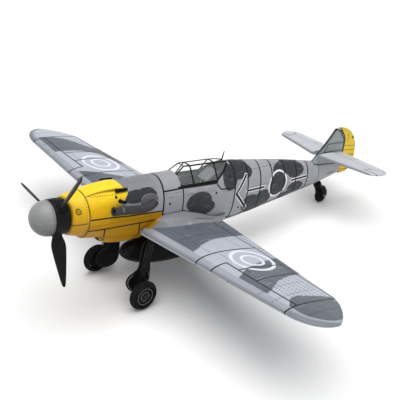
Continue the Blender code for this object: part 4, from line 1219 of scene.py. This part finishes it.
def intake_pipe(dark, boss):
    """Supercharger intake on the port side: a pipe that bends into a blister."""
    route = smooth_path([(11.3, 26.5, 3.8), (11.3, 28.5, 3.6), (11.3, 31.0, 3.45), (11.3, 36.0, 3.0),
                         (11.3, 41.0, 2.8), (11.2, 44.4, 3.3), (11.0, 46.2, 4.5), (10.9, 46.9, 5.2)])
    radii = []
    for k, p in enumerate(route):
        flare = max(0.0, 1 - (p.y - 26.5) / 1.6)
        radii.append(1.7 + 0.17 * flare if k < len(route) - 2 else 1.5)

    def intake(bm):
        tube(bm, route, radii, 28)
    pipe = piece("supercharger_pipe", intake, dark, replaces=["supercharger_intake"])
    cut(pipe, lambda bm: tube(bm, [(11.3, 25.5, 3.87), (11.3, 29.0, 3.57)], 1.2, 24))

    def collar(bm):
        tube(bm, [(11.3, 29.9, 3.54), (11.3, 30.6, 3.5)], 1.7, 28)
        rings = []
        for share, lift in ((1.0, -0.3), (1.0, 0.25), (0.96, 0.42), (0.86, 0.45), (0.8, 0.3), (0.45, 0.3),
                            (0.02, 0.3)):
            ring = []
            for k in range(40):
                a = 2 * math.pi * k / 40
                y, z = 45.9 + 4.4 * share * math.cos(a), 4.7 + 2.5 * share * math.sin(a)
                half, mid, top, _, power, _ = section(y)
                rise = min(max((z - mid) / (top - mid), 0.0), 0.99)
                ring.append(Vector((half * (1 - rise ** power) ** (1 / power) + lift, y, z)))
            rings.append(ring)
        grid(bm, rings, closed=True, caps=True)
    piece("pipe_elbow_flange", collar, boss)


def breather_stub(black):
    """Small open pipe above the intake."""
    def breather(bm):
        line = smooth_path([(9.4, 33.2, 6.2), (9.95, 32.2, 6.35), (10.0, 30.6, 6.9), (9.9, 29.7, 7.35)])
        tube(bm, line, [0.72] * (len(line) - 3) + [0.76, 0.86, 0.86], 16)
    made = piece("breather_stub", breather, black, replaces=["breather_pipe"])
    cut(made, lambda bm: tube(bm, [(9.85, 29.2, 7.6), (9.95, 30.2, 7.1)], 0.5, 14))


# ---- propeller ------------------------------------------------------------------------------
# Radius, chord and thickness along a blade
BLADE_ROWS = [(4.0, 2.8, 1.7), (7.5, 3.9, 1.5), (11.0, 5.9, 1.2), (15.5, 5.4, 1.0), (20.5, 4.1, 0.8),
              (25.0, 2.6, 0.6), (27.0, 1.5, 0.5), (PROP_RADIUS, 0.7, 0.35)]


def propeller(look):
    """Collar with three twisted blades, each in its socket."""
    def blade(bm, angle):
        rings = []
        for r in spread(4.0, 25.0, 0.8) + [25.6, 26.2, 26.7, 27.1, PROP_RADIUS]:
            chord, thick = smooth_row(BLADE_ROWS, r)
            pitch = -math.radians(52 - 30 * (r - 4) / 23.6)
            ring = []
            for k in range(24):
                a = 2 * math.pi * k / 24
                u = chord / 2 * math.cos(a)
                v = thick / 2 * math.sin(a) * (1.0 + 0.35 * math.cos(a)) * 0.85
                flat = Vector((u * math.cos(pitch) - v * math.sin(pitch),
                               u * math.sin(pitch) + v * math.cos(pitch), r))
                ring.append(Matrix.Rotation(angle, 3, "Y") @ flat + Vector((0, PROP_PLANE_Y, 0)))
            rings.append(ring)
        grid(bm, rings, closed=True, caps=True)

    def build(bm):
        turned(bm, [(0.0, 3.0), (6.7, 3.0), (7.0, 2.95), (7.15, 2.7), (7.2, 0.0), (7.2, -2.9),
                    (7.05, -3.2), (0.0, -3.25)], (0, PROP_PLANE_Y, 0), (0, -1, 0), 72)
        for k in range(3):
            angle = PROP_PHASE + 2 * math.pi * k / 3
            blade(bm, angle)
            out = Vector((math.sin(angle), 0, math.cos(angle)))
            turned(bm, [(0.0, 7.9), (1.7, 7.85), (1.95, 7.6), (2.15, 6.4), (0.0, 6.4)],
                   (0, PROP_PLANE_Y, 0), out, 28)
    piece("propeller_blades", build, look, "propeller", ["propeller"])


def spinner(look):
    """Rounded cap in front of the collar."""
    def dome(bm):
        profile = [(SPINNER_RADIUS * math.sin(a) ** 0.96, SPINNER_LENGTH * math.cos(a))
                   for a in [math.pi / 2 * k / 28 for k in range(29)]]
        profile[0] = (0.0, profile[0][1])
        turned(bm, profile + [(SPINNER_RADIUS - 0.15, -0.08), (0.0, -0.08)], (0, SPINNER_BASE_Y, 0),
               (0, -1, 0), 72)
    piece("spinner_dome", dome, look, "propeller", ["spinner_cap"])


# ---- cockpit and canopy ---------------------------------------------------------------------
# y, sill x and z, rail x and z, top z
CANOPY = [
    (62.6, 6.7, 7.5, 2.6, 11.2, 11.7),
    (67.0, 6.7, 7.5, 1.95, 14.45, 14.5),
    (70.3, 6.7, 7.5, 2.1, 14.35, 14.5),
    (83.9, 6.6, 7.5, 2.1, 14.3, 14.45),
    (88.1, 4.9, 10.2, 1.9, 14.1, 14.3),
    (92.3, 1.9, 12.9, 1.4, 13.6, 13.8),
]
CANOPY_STATIONS = [row[0] for row in CANOPY]
CANOPY_ARCHES = (70.3, 83.9)


def canopy_line(y):
    """Outer section of the hood at y, port to starboard."""
    sill_x, sill_z, edge_x, edge_z, top_z = straight_row(CANOPY, y)
    lean = 0.9 if y < 65.0 else 0.0
    port = [Vector((sill_x, y + lean, sill_z)), Vector((edge_x, y, edge_z)),
            Vector((edge_x / 2, y, top_z - 0.05))]
    return port + [Vector((0, y, top_z))] + [Vector((-p.x, p.y, p.z)) for p in reversed(port)]


def canopy(glass, black):
    """Clear hood and its printed frames."""
    def shell(inset):
        rows = []
        for y in CANOPY_STATIONS:
            rows.append([Vector((p.x - math.copysign(inset, p.x) * (abs(p.x) > 0.1) * 0.8, p.y,
                                 p.z - (inset if p.z > 9 else 0)))
                         for p in canopy_line(y)])
        return rows
    piece("canopy_glass", lambda bm: wall(bm, shell(0.0), shell(0.16)), glass, replaces=["canopy"],
          smooth=False)

    def edge(index, stations):
        return [canopy_line(y)[index] for y in stations]

    def out(p):
        """Which way a frame bar at p stands off the glass."""
        return Vector((p.x * 0.7, 0.0, 3.5 if abs(p.x) < 5 else 1.0))

    def frames(bm):
        for index in (1, 5):
            ring_strip(bm, edge(index, CANOPY_STATIONS), 0.56, 0.42, out)
        for index in (0, 6):
            ring_strip(bm, edge(index, CANOPY_STATIONS[:4]), 0.5, 0.7, (0, 0, 1))
            ring_strip(bm, edge(index, CANOPY_STATIONS[3:]), 0.6, 0.9, (0, -0.6, 1))
        for y in CANOPY_ARCHES:
            ring_strip(bm, canopy_line(y), 0.36, 0.62, (0, 1, 0))
        ring_strip(bm, canopy_line(67.0)[1:6], 0.24, 0.36, (0, 1, 0))
        ring_strip(bm, canopy_line(62.6), 0.28, 0.36, (0, 1, 0))
    made = piece("canopy_frame", frames, black, smooth=False)
    rounded(made, 0.06)


def antenna_mast(black):
    """Short tapered mast behind the canopy."""
    def mast(bm):
        tube(bm, smooth_path([(0, 90.6, 13.6), (0, 90.8, 15.2), (0, 91.1, 17.0), (0, 91.35, 18.1)], 4),
             [0.42 - 0.018 * k for k in range(13)], 12, 0.7)
        turned(bm, [(0.0, 0.35), (0.5, 0.3), (0.75, 0.0), (0.0, 0.0)], (0, 90.6, 13.5), (0, 0, 1), 20)
    piece("antenna_mast_fine", mast, black, replaces=["antenna_mast"])


def cockpit_tub(look):
    """Floor, walls, bulkheads and the two side consoles with knobs."""
    wall_x, floor, rim = 5.2, -3.0, 6.15

    def tub(bm):
        outer = [(wall_x, rim), (wall_x, floor), (-wall_x, floor), (-wall_x, rim)]
        inner = [(wall_x - 0.7, rim), (wall_x - 0.7, floor + 0.7), (0.7 - wall_x, floor + 0.7),
                 (0.7 - wall_x, rim)]
        wall(bm, [[(x, y, z) for x, z in outer] for y in (62.6, 89.9)],
             [[(x, y, z) for x, z in inner] for y in (62.6, 89.9)])
        for side in (1, -1):
            box(bm, (side * 3.0, 65.5, -2.2), (side * 4.6, 78.0, 1.8))
            for k in range(4):
                turned(bm, [(0.0, 0.35), (0.35, 0.3), (0.4, 0.0), (0.0, 0.0)],
                       (side * 3.8, 67.0 + 2.6 * k, 1.8), (0, 0, 1), 14)
        box(bm, (-4.5, 62.7, -2.3), (4.5, 63.3, 5.6))
        box(bm, (-4.5, 88.8, -2.3), (4.5, 89.6, 6.0))
    made = piece("cockpit_interior", tub, look, replaces=["cockpit_tub"],
                 smooth=False)
    rounded(made, 0.12)


def pilot_seat(look, webbing):
    """Bucket seat with its belts."""
    def seat(bm):
        pan = [(73.2, -1.5), (80.7, -1.5), (82.5, 6.5), (81.7, 6.7), (79.9, -0.6), (73.2, -0.6)]
        plate(bm, pan, -2.6, 2.6)
        for side in (1, -1):
            cheek = [(73.4, -1.4), (80.8, -1.4), (82.4, 5.4), (81.4, 5.6), (79.4, 1.2), (74.4, 0.9)]
            x = sorted((side * 2.6, side * 2.95))
            plate(bm, cheek, *x)
    made = piece("pilot_seat", seat, look, replaces=["seat"], smooth=False)
    rounded(made, 0.15)

    def straps(bm):
        for side in (1, -1):
            line = smooth_path([(side * 1.1, 81.6, 6.6), (side * 1.1, 80.7, 3.4), (side * 1.0, 79.6, 0.4),
                                (side * 0.7, 77.0, -0.3)], 4)
            ring_strip(bm, line, 0.7, 0.14, (0, -1, 0.5))
        box(bm, (-0.5, 76.6, -0.5), (0.5, 77.4, -0.1))
    piece("seat_belts", straps, webbing, smooth=False)


def head_armour(look):
    """Upright plate behind the seat and the sloping head rest in front of it."""
    def armour(bm):
        slab = [(84.3, -1.5), (85.2, -1.5), (87.2, 9.9), (86.3, 10.1)]
        plate(bm, slab, -3.1, 3.1)
        rest = [(80.4, 6.2), (85.6, 10.2), (86.0, 9.7), (80.8, 5.6)]
        plate(bm, rest, -3.2, 3.2)
    made = piece("head_armour", armour, look, replaces=["headrest_armour"],
                 smooth=False)
    rounded(made, 0.2, 3)


def instrument_board(look):
    """Panel with raised dial rims and a gun sight."""
    def panel(bm):
        board = [(63.5, 1.1), (64.2, 1.1), (64.3, 7.3), (63.5, 8.4)]
        plate(bm, board, -4.0, 4.0)
        for x, z, r in ((-2.4, 5.6, 0.75), (-0.8, 5.7, 0.75), (0.8, 5.7, 0.75), (2.4, 5.6, 0.75),
                        (-2.6, 3.6, 0.6), (-1.2, 3.6, 0.6), (0.2, 3.6, 0.6), (1.6, 3.6, 0.6),
                        (2.9, 3.7, 0.45)):
            turned(bm, [(r - 0.18, 0.1), (r - 0.12, 0.22), (r, 0.2), (r, 0.0), (r - 0.18, 0.0)],
                   (x, 64.28, z), (0, 1, 0), 20, closed=True)
        tube(bm, [(0, 64.2, 6.9), (0, 66.4, 7.6)], 0.5, 14, 1.6)
        box(bm, (-0.75, 66.2, 7.2), (0.75, 66.9, 8.7))
    piece("instrument_board", panel, look, replaces=["instrument_panel"],
          smooth=False)


def control_column(look):
    """Stick with its grip and gaiter."""
    def stick(bm):
        rod = smooth_path([(0, 70.0, -2.0), (0, 70.1, -0.6), (0, 70.6, 1.6), (0, 70.9, 2.6)], 4)
        tube(bm, rod, 0.3, 12)
        tube(bm, smooth_path([(0, 70.9, 2.2), (0, 71.0, 2.9), (0, 70.8, 3.5)], 4), 0.48, 12)
        turned(bm, [(0.0, 0.6), (0.6, 0.5), (0.9, 0.0), (0.0, 0.0)], (0, 70.0, -2.1), (0, 0, 1), 18)
    piece("control_column", stick, look, replaces=["control_stick"])


# ---- tail -----------------------------------------------------------------------------------
# Leading edge and hinge of the fin as (z, y), outline of the rudder as (y, z)
FIN_LEAD = [(3.0, 150.6), (6.6, 153.4), (14.8, 160.8), (20.0, 164.6), (22.4, 167.2)]
FIN_HINGE = [(3.0, 175.6), (13.0, 175.6), (16.5, 175.2), (20.0, 172.2), (22.4, 168.6)]
RUDDER = [(176.2, -2.7), (179.0, -2.6), (182.0, -2.2), (184.0, -0.9), (185.0, 0.6), (185.8, 2.8),
          (186.1, 5.0), (186.0, 8.2), (185.5, 11.3), (184.5, 13.9), (183.0, 16.2), (181.1, 18.5),
          (178.8, 20.4), (175.4, 21.9), (172.6, 22.5), (169.6, 22.4), (171.4, 21.2), (172.9, 19.8),
          (174.5, 18.2), (175.8, 16.4), (176.2, 13.0), (176.2, 5.0)]
FIN_TOP = 22.2


def tail_cone(look):
    """Closed end of the fuselage."""
    def cone(bm):
        rings = []
        for y in spread(TAIL_JOINT_Y + 0.1, 175.2, 1.2):
            half, mid, top, bottom, _, _ = section(y)
            ring = []
            for k in range(48):
                a = 2 * math.pi * k / 48
                height = top - mid if math.sin(a) >= 0 else mid - bottom
                ring.append((half * math.cos(a), y, mid + height * math.sin(a)))
            rings.append(ring)
        grid(bm, rings, closed=True, caps=True)

    piece("tail_cone", cone, look, replaces=["tail_fin"])


def fin_blade(look):
    """Fixed fin, thinner towards the top and flared at its foot."""
    def fin(bm):
        rings = []
        for z in spread(3.4, FIN_TOP, 0.8):
            lead = max(smooth_row(FIN_LEAD, z)[0], TAIL_JOINT_Y + 0.2)
            hinge = smooth_row(FIN_HINGE, z)[0]
            half = 1.35 - 0.75 * (z - 3.0) / 19.4
            shape = [(u, math.sqrt(u / 0.3) if u < 0.3 else 1.0 - 0.3 * ((u - 0.3) / 0.7) ** 1.6)
                     for u in (0.0, 0.01, 0.03, 0.07, 0.13, 0.21, 0.3, 0.45, 0.6, 0.75, 0.9, 1.0)]
            port = [(half * min(w, 1.0) + 0.08, lead + (hinge - lead) * u, z) for u, w in shape]
            foot = max(0.0, 1 - (z - 3.4) / 2.6) ** 2 * 0.8
            port = [(x + foot, y, h) for x, y, h in port]
            rings.append(port + [(-x, y, h) for x, y, h in reversed(port)])
        grid(bm, rings, closed=True, caps=True)
    made = piece("fin", fin, look)
    rounded(made, 0.15)


def rudder(look, black):
    """Rudder and the dark strip between it and the fin."""
    def blade(bm):
        centre_y = 176.3
        rows = []
        for x, shrink in ((-0.28, 0.75), (-0.55, 0.3), (-0.68, 0.0), (0.68, 0.0), (0.55, 0.3),
                          (0.28, 0.75)):
            row = []
            for y, z in RUDDER:
                pull = shrink * min(1.0, max(0.0, (y - centre_y) / 2.0)) if y > centre_y else 0.0
                row.append((x, y - pull, z + (0.25 * pull if z < 5 else -0.25 * pull)))
            rows.append(row)
        grid(bm, rows, closed=True, caps=True)
    piece("rudder_blade", blade, look, replaces=["rudder"])

    def hinge(bm):
        line = [(smooth_row(FIN_HINGE, z)[0], z) for z in spread(3.4, 20.0, 1.6)]
        behind = [(176.6, -2.2)] + [(y + 1.0, z) for y, z in line]
        ahead = [(y - 0.5, z) for y, z in line[::-1]] + [(175.1, -2.2)]
        plate(bm, behind + ahead, -0.4, 0.4)
    piece("rudder_hinge", hinge, black, smooth=False)


def tailplanes(look):
    """Left and right stabiliser with round tips."""
    for side_name, side in SIDES:
        def build(bm):
            rings = []
            for x in spread(2.35, 28.0, 2.0) + [29.0, 30.0, 31.0, 31.8, 32.4, 32.8, 32.98]:
                lead, trail = 155.0 + 0.205 * (x - 2.3), 174.6
                if x > 28.0:
                    pull = 1 - math.sqrt(1 - min((x - 28.0) / 5.0, 0.99) ** 2)
                    lead += (168.5 - lead) * pull
                    trail += (168.5 - trail) * pull
                chord = trail - lead
                upper, lower = [], []
                for k in range(25):
                    u = (1 - math.cos(math.pi * k / 24)) / 2
                    h = chord * foil_height(u, 0.105) + 0.12
                    upper.append((side * x, lead + chord * u, 9.4 + h))
                    lower.append((side * x, lead + chord * u, 9.4 - h))
                rings.append(upper + lower[::-1])
            grid(bm, rings, closed=True, caps=True)
        piece("tailplane_" + side_name, build, look, replaces=["stabiliser_" + side_name])


# ---- landing gear ---------------------------------------------------------------------------
LEG_TOP = Vector((13.6, 45.2, -12.6))
# Outline of a leg door as (y, z)
DOOR = [(43.2, -12.9), (47.6, -12.9), (48.2, -22.0), (48.5, -25.0), (48.7, -27.6), (48.8, -30.6),
        (48.0, -33.4), (45.6, -35.2), (42.2, -35.6), (39.2, -34.6), (37.2, -32.2), (36.6, -29.6),
        (38.0, -27.4), (40.6, -26.0), (42.4, -23.6)]


def main_leg(side_name, side, black):
    """Oleo leg with its torque links, brake hose and axle boss."""
    boss_x = WHEEL.x - WHEEL_WIDTH / 2 - 0.3
    top = Vector((side * LEG_TOP.x, LEG_TOP.y, LEG_TOP.z))
    foot = Vector((side * (boss_x - 1.0), WHEEL.y, WHEEL.z))

    def at_share(t):
        return top + (foot - top) * t

    def leg(bm):
        tube(bm, [at_share(t) for t in (0.0, 0.02, 0.55, 0.57)], [1.35, 1.48, 1.48, 1.3], 24)
        tube(bm, [at_share(t) for t in (0.55, 0.8, 1.0)], [1.0, 1.0, 1.05], 24)
        for t in (0.1, 0.53, 0.86):
            tube(bm, [at_share(t), at_share(t + 0.03)], 1.45 if t > 0.8 else 1.6, 24)
        turned(bm, [(0.95, 2.2), (1.75, 2.2), (1.9, 2.05), (1.9, 0.15), (1.75, 0.0), (0.95, 0.0)],
               (side * (boss_x - 2.2), WHEEL.y, WHEEL.z), (side, 0, 0), 32, closed=True)
        back = Vector((0, 1.0, 0))
        knee = at_share(0.72) + back * 2.9
        for a, b in ((at_share(0.56) + back, knee), (knee, at_share(0.88) + back)):
            for shift in (-0.45, 0.45):
                offset = Vector((shift, 0, 0))
                tube(bm, [a + offset, b + offset], 0.28, 10)
        tube(bm, [knee - Vector((0.8, 0, 0)), knee + Vector((0.8, 0, 0))], 0.36, 12)
        hose = smooth_path([at_share(share) - back * off for share, off in
                            ((0.3, 1.45), (0.55, 1.75), (0.75, 1.5), (0.93, 1.3))], 5)
        tube(bm, hose, 0.22, 8)
    piece("oleo_leg_" + side_name, leg, black, replaces=["gear_leg_" + side_name])


def leg_door(side_name, side, black, silver):
    """Door outboard of the leg, with a bright line round its lower edge."""
    outline = round_outline(DOOR, 4)
    inner, outer = side * 11.05, side * 11.75

    def door(bm):
        middle = (sum(y for y, _ in outline) / len(outline), sum(z for _, z in outline) / len(outline))
        rows = []
        step = (outer - inner) * 0.3
        for x, scale in ((inner, 0.955), (inner + step, 0.985), (outer - step, 0.985), (outer, 0.955)):
            rows.append([(x, middle[0] + (y - middle[0]) * scale,
                          middle[1] + (z - middle[1]) * scale) for y, z in outline])
        grid(bm, rows, closed=True, caps=True)
    piece("leg_door_" + side_name, door, black, replaces=["gear_door_" + side_name])

    def lip(bm):
        middle = (43.0, -30.0)
        line = [Vector((outer + side * 0.02, middle[0] + (y - middle[0]) * 0.86,
                        middle[1] + (z - middle[1]) * 0.86))
                for y, z in outline if z < -26.5]
        tube(bm, line, 0.16, 8)
    piece("door_edge_line_" + side_name, lip, silver)


def main_wheel(side_name, side, rubber, hub_look, silver):
    """Grooved tyre, spoked disc and its bright rings, turning on the axle pin."""
    body = "wheel_" + side_name
    half = WHEEL_WIDTH / 2
    crown = arc(WHEEL_RADIUS - 1.6, 0, 1.6, 75, -75, 40)
    grooved = [(r - (0.12 if abs(h) < 1.15 and int((h + 1.15) / 0.32) % 2 else 0.0), h) for r, h in crown]
    tyre_profile = ([(4.5, half - 0.5), (4.7, half - 0.12), (5.1, half - 0.02)] + grooved
                    + [(5.1, 0.02 - half), (4.7, 0.12 - half), (4.5, 0.5 - half)])
    centre = (side * WHEEL.x, WHEEL.y, WHEEL.z)

    def tyre(bm):
        turned(bm, tyre_profile, centre, (side, 0, 0), 72, True)
    piece("tyre_" + side_name + "_tread", tyre, rubber, body, ["tyre_" + side_name])

    def hub(bm):
        profile = [(1.1, half - 0.5), (1.7, half - 0.5), (1.9, half - 0.75), (2.0, half - 1.05),
                   (3.1, half - 1.15), (3.3, half - 0.9), (3.5, half - 0.55), (3.8, half - 0.5),
                   (4.1, half - 0.62), (4.15, half - 0.8), (4.15, 0.7 - half), (3.8, 0.5 - half),
                   (3.2, 1.1 - half), (1.9, 1.1 - half), (1.7, 0.7 - half), (1.1, 0.7 - half)]
        turned(bm, profile, centre, (side, 0, 0), 56, closed=True)
        for k in range(8):
            a = 2 * math.pi * k / 8
            spoke_x = centre[0] + side * (half - 1.075)
            spoke = [Vector((spoke_x, centre[1] + r * math.cos(a), centre[2] + r * math.sin(a)))
                     for r in (1.8, 3.1)]
            tube(bm, spoke, 0.22, 8)
    piece("wheel_disc_" + side_name, hub, hub_look, body, ["wheel_hub_" + side_name])

    def rims(bm):
        for radius in (2.0, 3.65):
            ring = [(centre[0] + side * (half - (0.52 if radius > 3 else 0.62)),
                     centre[1] + radius * math.cos(a), centre[2] + radius * math.sin(a))
                    for a in [2 * math.pi * k / 48 for k in range(49)]]
            tube(bm, ring, 0.13, 8)
    piece("hub_ring_lines_" + side_name, rims, silver, body)


def tail_gear(black, rubber):
    """Fixed strut with a fork, and the wheel in it."""
    fork_x = 1.8

    def strut(bm):
        tube(bm, smooth_path([(0, 161.5, -6.7), (0, 162.6, -8.0), (0, 163.6, -9.1)], 4),
             [1.75, 1.78, 1.75, 1.7, 1.6, 1.55, 1.5, 1.45, 1.4], 24)
        box(bm, (-fork_x - 0.75, 162.1, -9.3), (fork_x + 0.75, 166.1, -8.4))
        for side in (1, -1):
            arm = round_outline([(163.0, -8.7), (165.8, -8.7), (167.2, -11.6), (168.1, -14.0),
                                 (167.2, -15.2), (165.7, -14.6), (164.4, -11.8)], 3)
            x = sorted((side * (fork_x + 0.02), side * (fork_x + 0.72)))
            plate(bm, arm, *x)
        for z in (-7.6, -8.3):
            tube(bm, [(0, 162.2, z + 0.3), (0, 162.6, z - 0.1)], 1.95, 24)
    made = piece("tail_strut", strut, black, replaces=["tail_wheel_fork"])
    rounded(made, 0.12)

    half, r = 1.4, TAIL_WHEEL_RADIUS
    profile = ([(0.8, half - 0.35), (1.7, half - 0.35), (1.9, half - 0.6), (2.1, half - 0.6),
                (2.3, half - 0.04)] + arc(r - 1.0, 0, 1.0, 70, -70, 20)
               + [(2.3, 0.04 - half), (2.1, 0.6 - half), (1.9, 0.6 - half), (1.7, 0.35 - half),
                  (0.8, 0.35 - half)])

    def tyre(bm):
        turned(bm, profile, TAIL_WHEEL, (1, 0, 0), 56, True)
    piece("tail_tyre", tyre, rubber, "tail_wheel", ["tail_wheel"])


# ---- drop tank ------------------------------------------------------------------------------
def tank_radius(t):
    """Radius of the tank over its greatest, at a share t of its length."""
    widest = 0.42
    if t < widest:
        return math.sqrt(max(0.0, 1 - ((widest - t) / widest) ** 2))
    return math.cos(math.pi / 2 * ((t - widest) / (1 - widest)) ** 1.25) ** 0.8


def drop_tank(black, steel):
    """Tank in two half shells with weld bands, its rack and its filler cap."""
    place = Matrix.Translation((0, TANK["y"], TANK["z"])) @ Matrix.Rotation(TANK["slope"], 4, "X")
    for side_name, side in SIDES:
        def build(bm):
            rings = []
            for k in range(61):
                t = 0.004 + 0.992 * (1 - math.cos(math.pi * k / 60)) / 2
                y, r = (t - 0.5) * TANK["length"], TANK["radius"] * tank_radius(t) + 0.02
                weld = 0.1 if abs(y + 2.0) < 0.35 or abs(y - 8.0) < 0.35 else 0.0
                rings.append([place @ Vector((side * (SEAM + (r + weld) * math.cos(a)), y,
                                              (r + weld) * math.sin(a)))
                              for a in [-math.pi / 2 + math.pi * j / 28 for j in range(29)]])
            grid(bm, rings, closed=True, caps=True)
        piece("tank_shell_" + side_name, build, black, replaces=["drop_tank_" + side_name])

    def rack(bm):
        outline = round_outline([(52.3, -15.8), (64.0, -15.78), (75.7, -15.8), (75.3, -16.2),
                                 (64.0, -16.24), (52.7, -16.2)], 3)
        plate(bm, outline, -1.5, 1.5)
        for y in (58.0, 70.0):
            tube(bm, [(-1.9, y, -16.0), (1.9, y, -16.0)], 0.3, 12)
    piece("tank_pylon", rack, black, replaces=["tank_rack"])

    def filler(bm):
        top = place @ Vector((0, -9.0, TANK["radius"] - 0.7))
        turned(bm, [(0.0, 0.5), (0.9, 0.45), (1.05, 0.3), (1.05, 0.0), (0.0, 0.0)], top, (0, 0.1, 1), 24)
    piece("tank_filler_cap", filler, steel)


# ---- stage ----------------------------------------------------------------------------------
CAMERA_AZIMUTH = math.radians(50.23)
CAMERA_ELEVATION = math.radians(29.0)
CAMERA_ROLL = math.radians(0.967)
CAMERA_DISTANCE = 0.3577
CAMERA_LENS = 68.08
WORLD_STRENGTH = 0.09
SUN_STRENGTH = 3.6
SUN_SPREAD = math.radians(72)
SUN_WAY = Vector((-0.12, 0.04, -1.0))
SIDE_BOX = dict(place=(0.75, -0.55, 0.42), size=0.6, energy=0.6)
FLOOR_FLAT = 2.2               # m, radius of the flat floor
FLOOR_CURVE = 2.6              # m, radius of the sweep that it ends in
CAMERA_AIM = Vector((-12.63, 90.0, -27.66))     # mm, along the row's axes from the aeroplane's zero


def camera():
    """Camera from ahead and to port, aimed a little behind the nose."""
    az, el = CAMERA_AZIMUTH, CAMERA_ELEVATION
    back = Vector((math.sin(az) * math.cos(el), -math.cos(az) * math.cos(el), math.sin(el)))
    level = Vector((math.cos(az), math.sin(az), 0))
    over = back.cross(level)
    right = math.cos(CAMERA_ROLL) * level + math.sin(CAMERA_ROLL) * over
    up = math.cos(CAMERA_ROLL) * over - math.sin(CAMERA_ROLL) * level
    aim = ATTITUDE.to_translation() + CAMERA_AIM * 0.001
    data = bpy.data.cameras.new("camera")
    data.lens = CAMERA_LENS
    data.sensor_width = 36.0
    data.clip_start = 0.01
    data.clip_end = 50.0
    made = bpy.data.objects.new("camera", data)
    bpy.context.scene.collection.objects.link(made)
    turn = Matrix((right, up, back)).transposed().to_4x4()
    made.matrix_world = Matrix.Translation(aim + back * CAMERA_DISTANCE) @ turn
    bpy.context.scene.camera = made


def soft_light(name, place, size, energy, aim=(0, 0, 0.02)):
    """Round area light aimed at the model."""
    data = bpy.data.lights.new(name, "AREA")
    data.shape = "DISK"
    data.size = size
    data.energy = energy
    made = bpy.data.objects.new(name, data)
    bpy.context.scene.collection.objects.link(made)
    made.location = place
    made.rotation_euler = (Vector(aim) - Vector(place)).to_track_quat("-Z", "Y").to_euler()


def stage():
    """Dim white world, one broad overhead light, a small fill and the floor."""
    world = bpy.data.worlds.new("studio")
    bpy.context.scene.world = world
    world.use_nodes = True
    background = world.node_tree.nodes["Background"]
    background.inputs["Color"].default_value = (1.0, 1.0, 1.0, 1.0)
    background.inputs["Strength"].default_value = WORLD_STRENGTH
    sun = bpy.data.lights.new("overhead", "SUN")
    sun.energy = SUN_STRENGTH
    sun.angle = SUN_SPREAD
    holder = bpy.data.objects.new("overhead", sun)
    bpy.context.scene.collection.objects.link(holder)
    holder.rotation_euler = SUN_WAY.to_track_quat("-Z", "Y").to_euler()
    soft_light("side_box", **SIDE_BOX)
    studio_floor()
    bpy.context.scene.view_settings.view_transform = "Standard"


def studio_floor():
    """Flat round floor that sweeps up at its rim, so that the horizon stays pale."""

    def build(bm):
        sweep = [(FLOOR_FLAT + FLOOR_CURVE * math.sin(a), FLOOR_CURVE * (1 - math.cos(a)))
                 for a in spread(0.0, math.radians(75), math.radians(7.5))]
        turn = spread(0.0, math.radians(354.375), math.radians(5.625))
        rings = [[(r * math.cos(a), r * math.sin(a), z) for a in turn] for r, z in [(0.5, 0.0)] + sweep]
        inner = grid(bm, rings, closed=True)[0]
        bm.faces.new(inner)
    floor = bpy.data.objects.new("floor", mesh_from("floor", build))
    bpy.context.scene.collection.objects.link(floor)
    floor.data.materials.append(floor_look())


# ---- the model ------------------------------------------------------------------------------
def main():
    """Make the looks, then every piece, the repainted CAD nodes, camera and stage."""
    black = plain_plastic("black_plastic", BLACK)
    dark = plain_plastic("dark_grey_plastic", srgb(58, 57, 59))
    hub = plain_plastic("wheel_hub_black", srgb(20, 20, 21))
    blade = plain_plastic("propeller_black", srgb(16, 17, 15))
    interior = plain_plastic("interior_grey", srgb(32, 33, 36), 0.5, 0.7, amount=0.04)
    armour = plain_plastic("armour_grey", srgb(118, 121, 124))
    steel = steel_look()
    silver = plain_plastic("silver_line", srgb(112, 114, 116), 0.4, 0.55)
    pin = plain_plastic("blackened_pin", srgb(34, 34, 35), 0.35, 0.5)
    yellow = cowl_look()
    rubber = rubber_look()
    underside = underside_look()
    for side_name, side in SIDES:
        fuselage_half(side_name, side, fuselage_look("camouflage_" + side_name))
        wing_half(side_name, side, True, wing_look("wing_camouflage_" + side_name, side))
        wing_half(side_name, side, False, underside)
        root_fillet(side_name, side, fillet_look())
        radiator(side_name, side, underside, black)
        main_leg(side_name, side, black)
        leg_door(side_name, side, black, silver)
        main_wheel(side_name, side, rubber, hub, silver)
    nose_cowl(yellow)
    chin_scoop(yellow)
    gun_barrels(black)
    intake_pipe(dark, plain_plastic("pipe_boss_grey", srgb(98, 98, 101), scuff=srgb(170, 171, 174)))
    breather_stub(black)
    propeller(blade)
    spinner(spinner_look())
    canopy(glass_look(), black)
    antenna_mast(black)
    cockpit_tub(interior)
    pilot_seat(interior, plain_plastic("belt_webbing", srgb(150, 140, 116), 0.7, 0.85))
    head_armour(armour)
    instrument_board(dark)
    control_column(black)
    fin_paint = tail_look()
    tail_cone(fin_paint)
    fin_blade(fin_paint)
    rudder(rudder_look(), black)
    tailplanes(stabiliser_look())
    tail_gear(black, rubber)
    drop_tank(black, steel)
    repaint(["wheel_axle_left", "wheel_axle_right"], pin)
    repaint(["propeller_shaft", "tail_wheel_axle"], steel)
    repaint(["shaft_retainer"], black)
    camera()
    stage()


main()
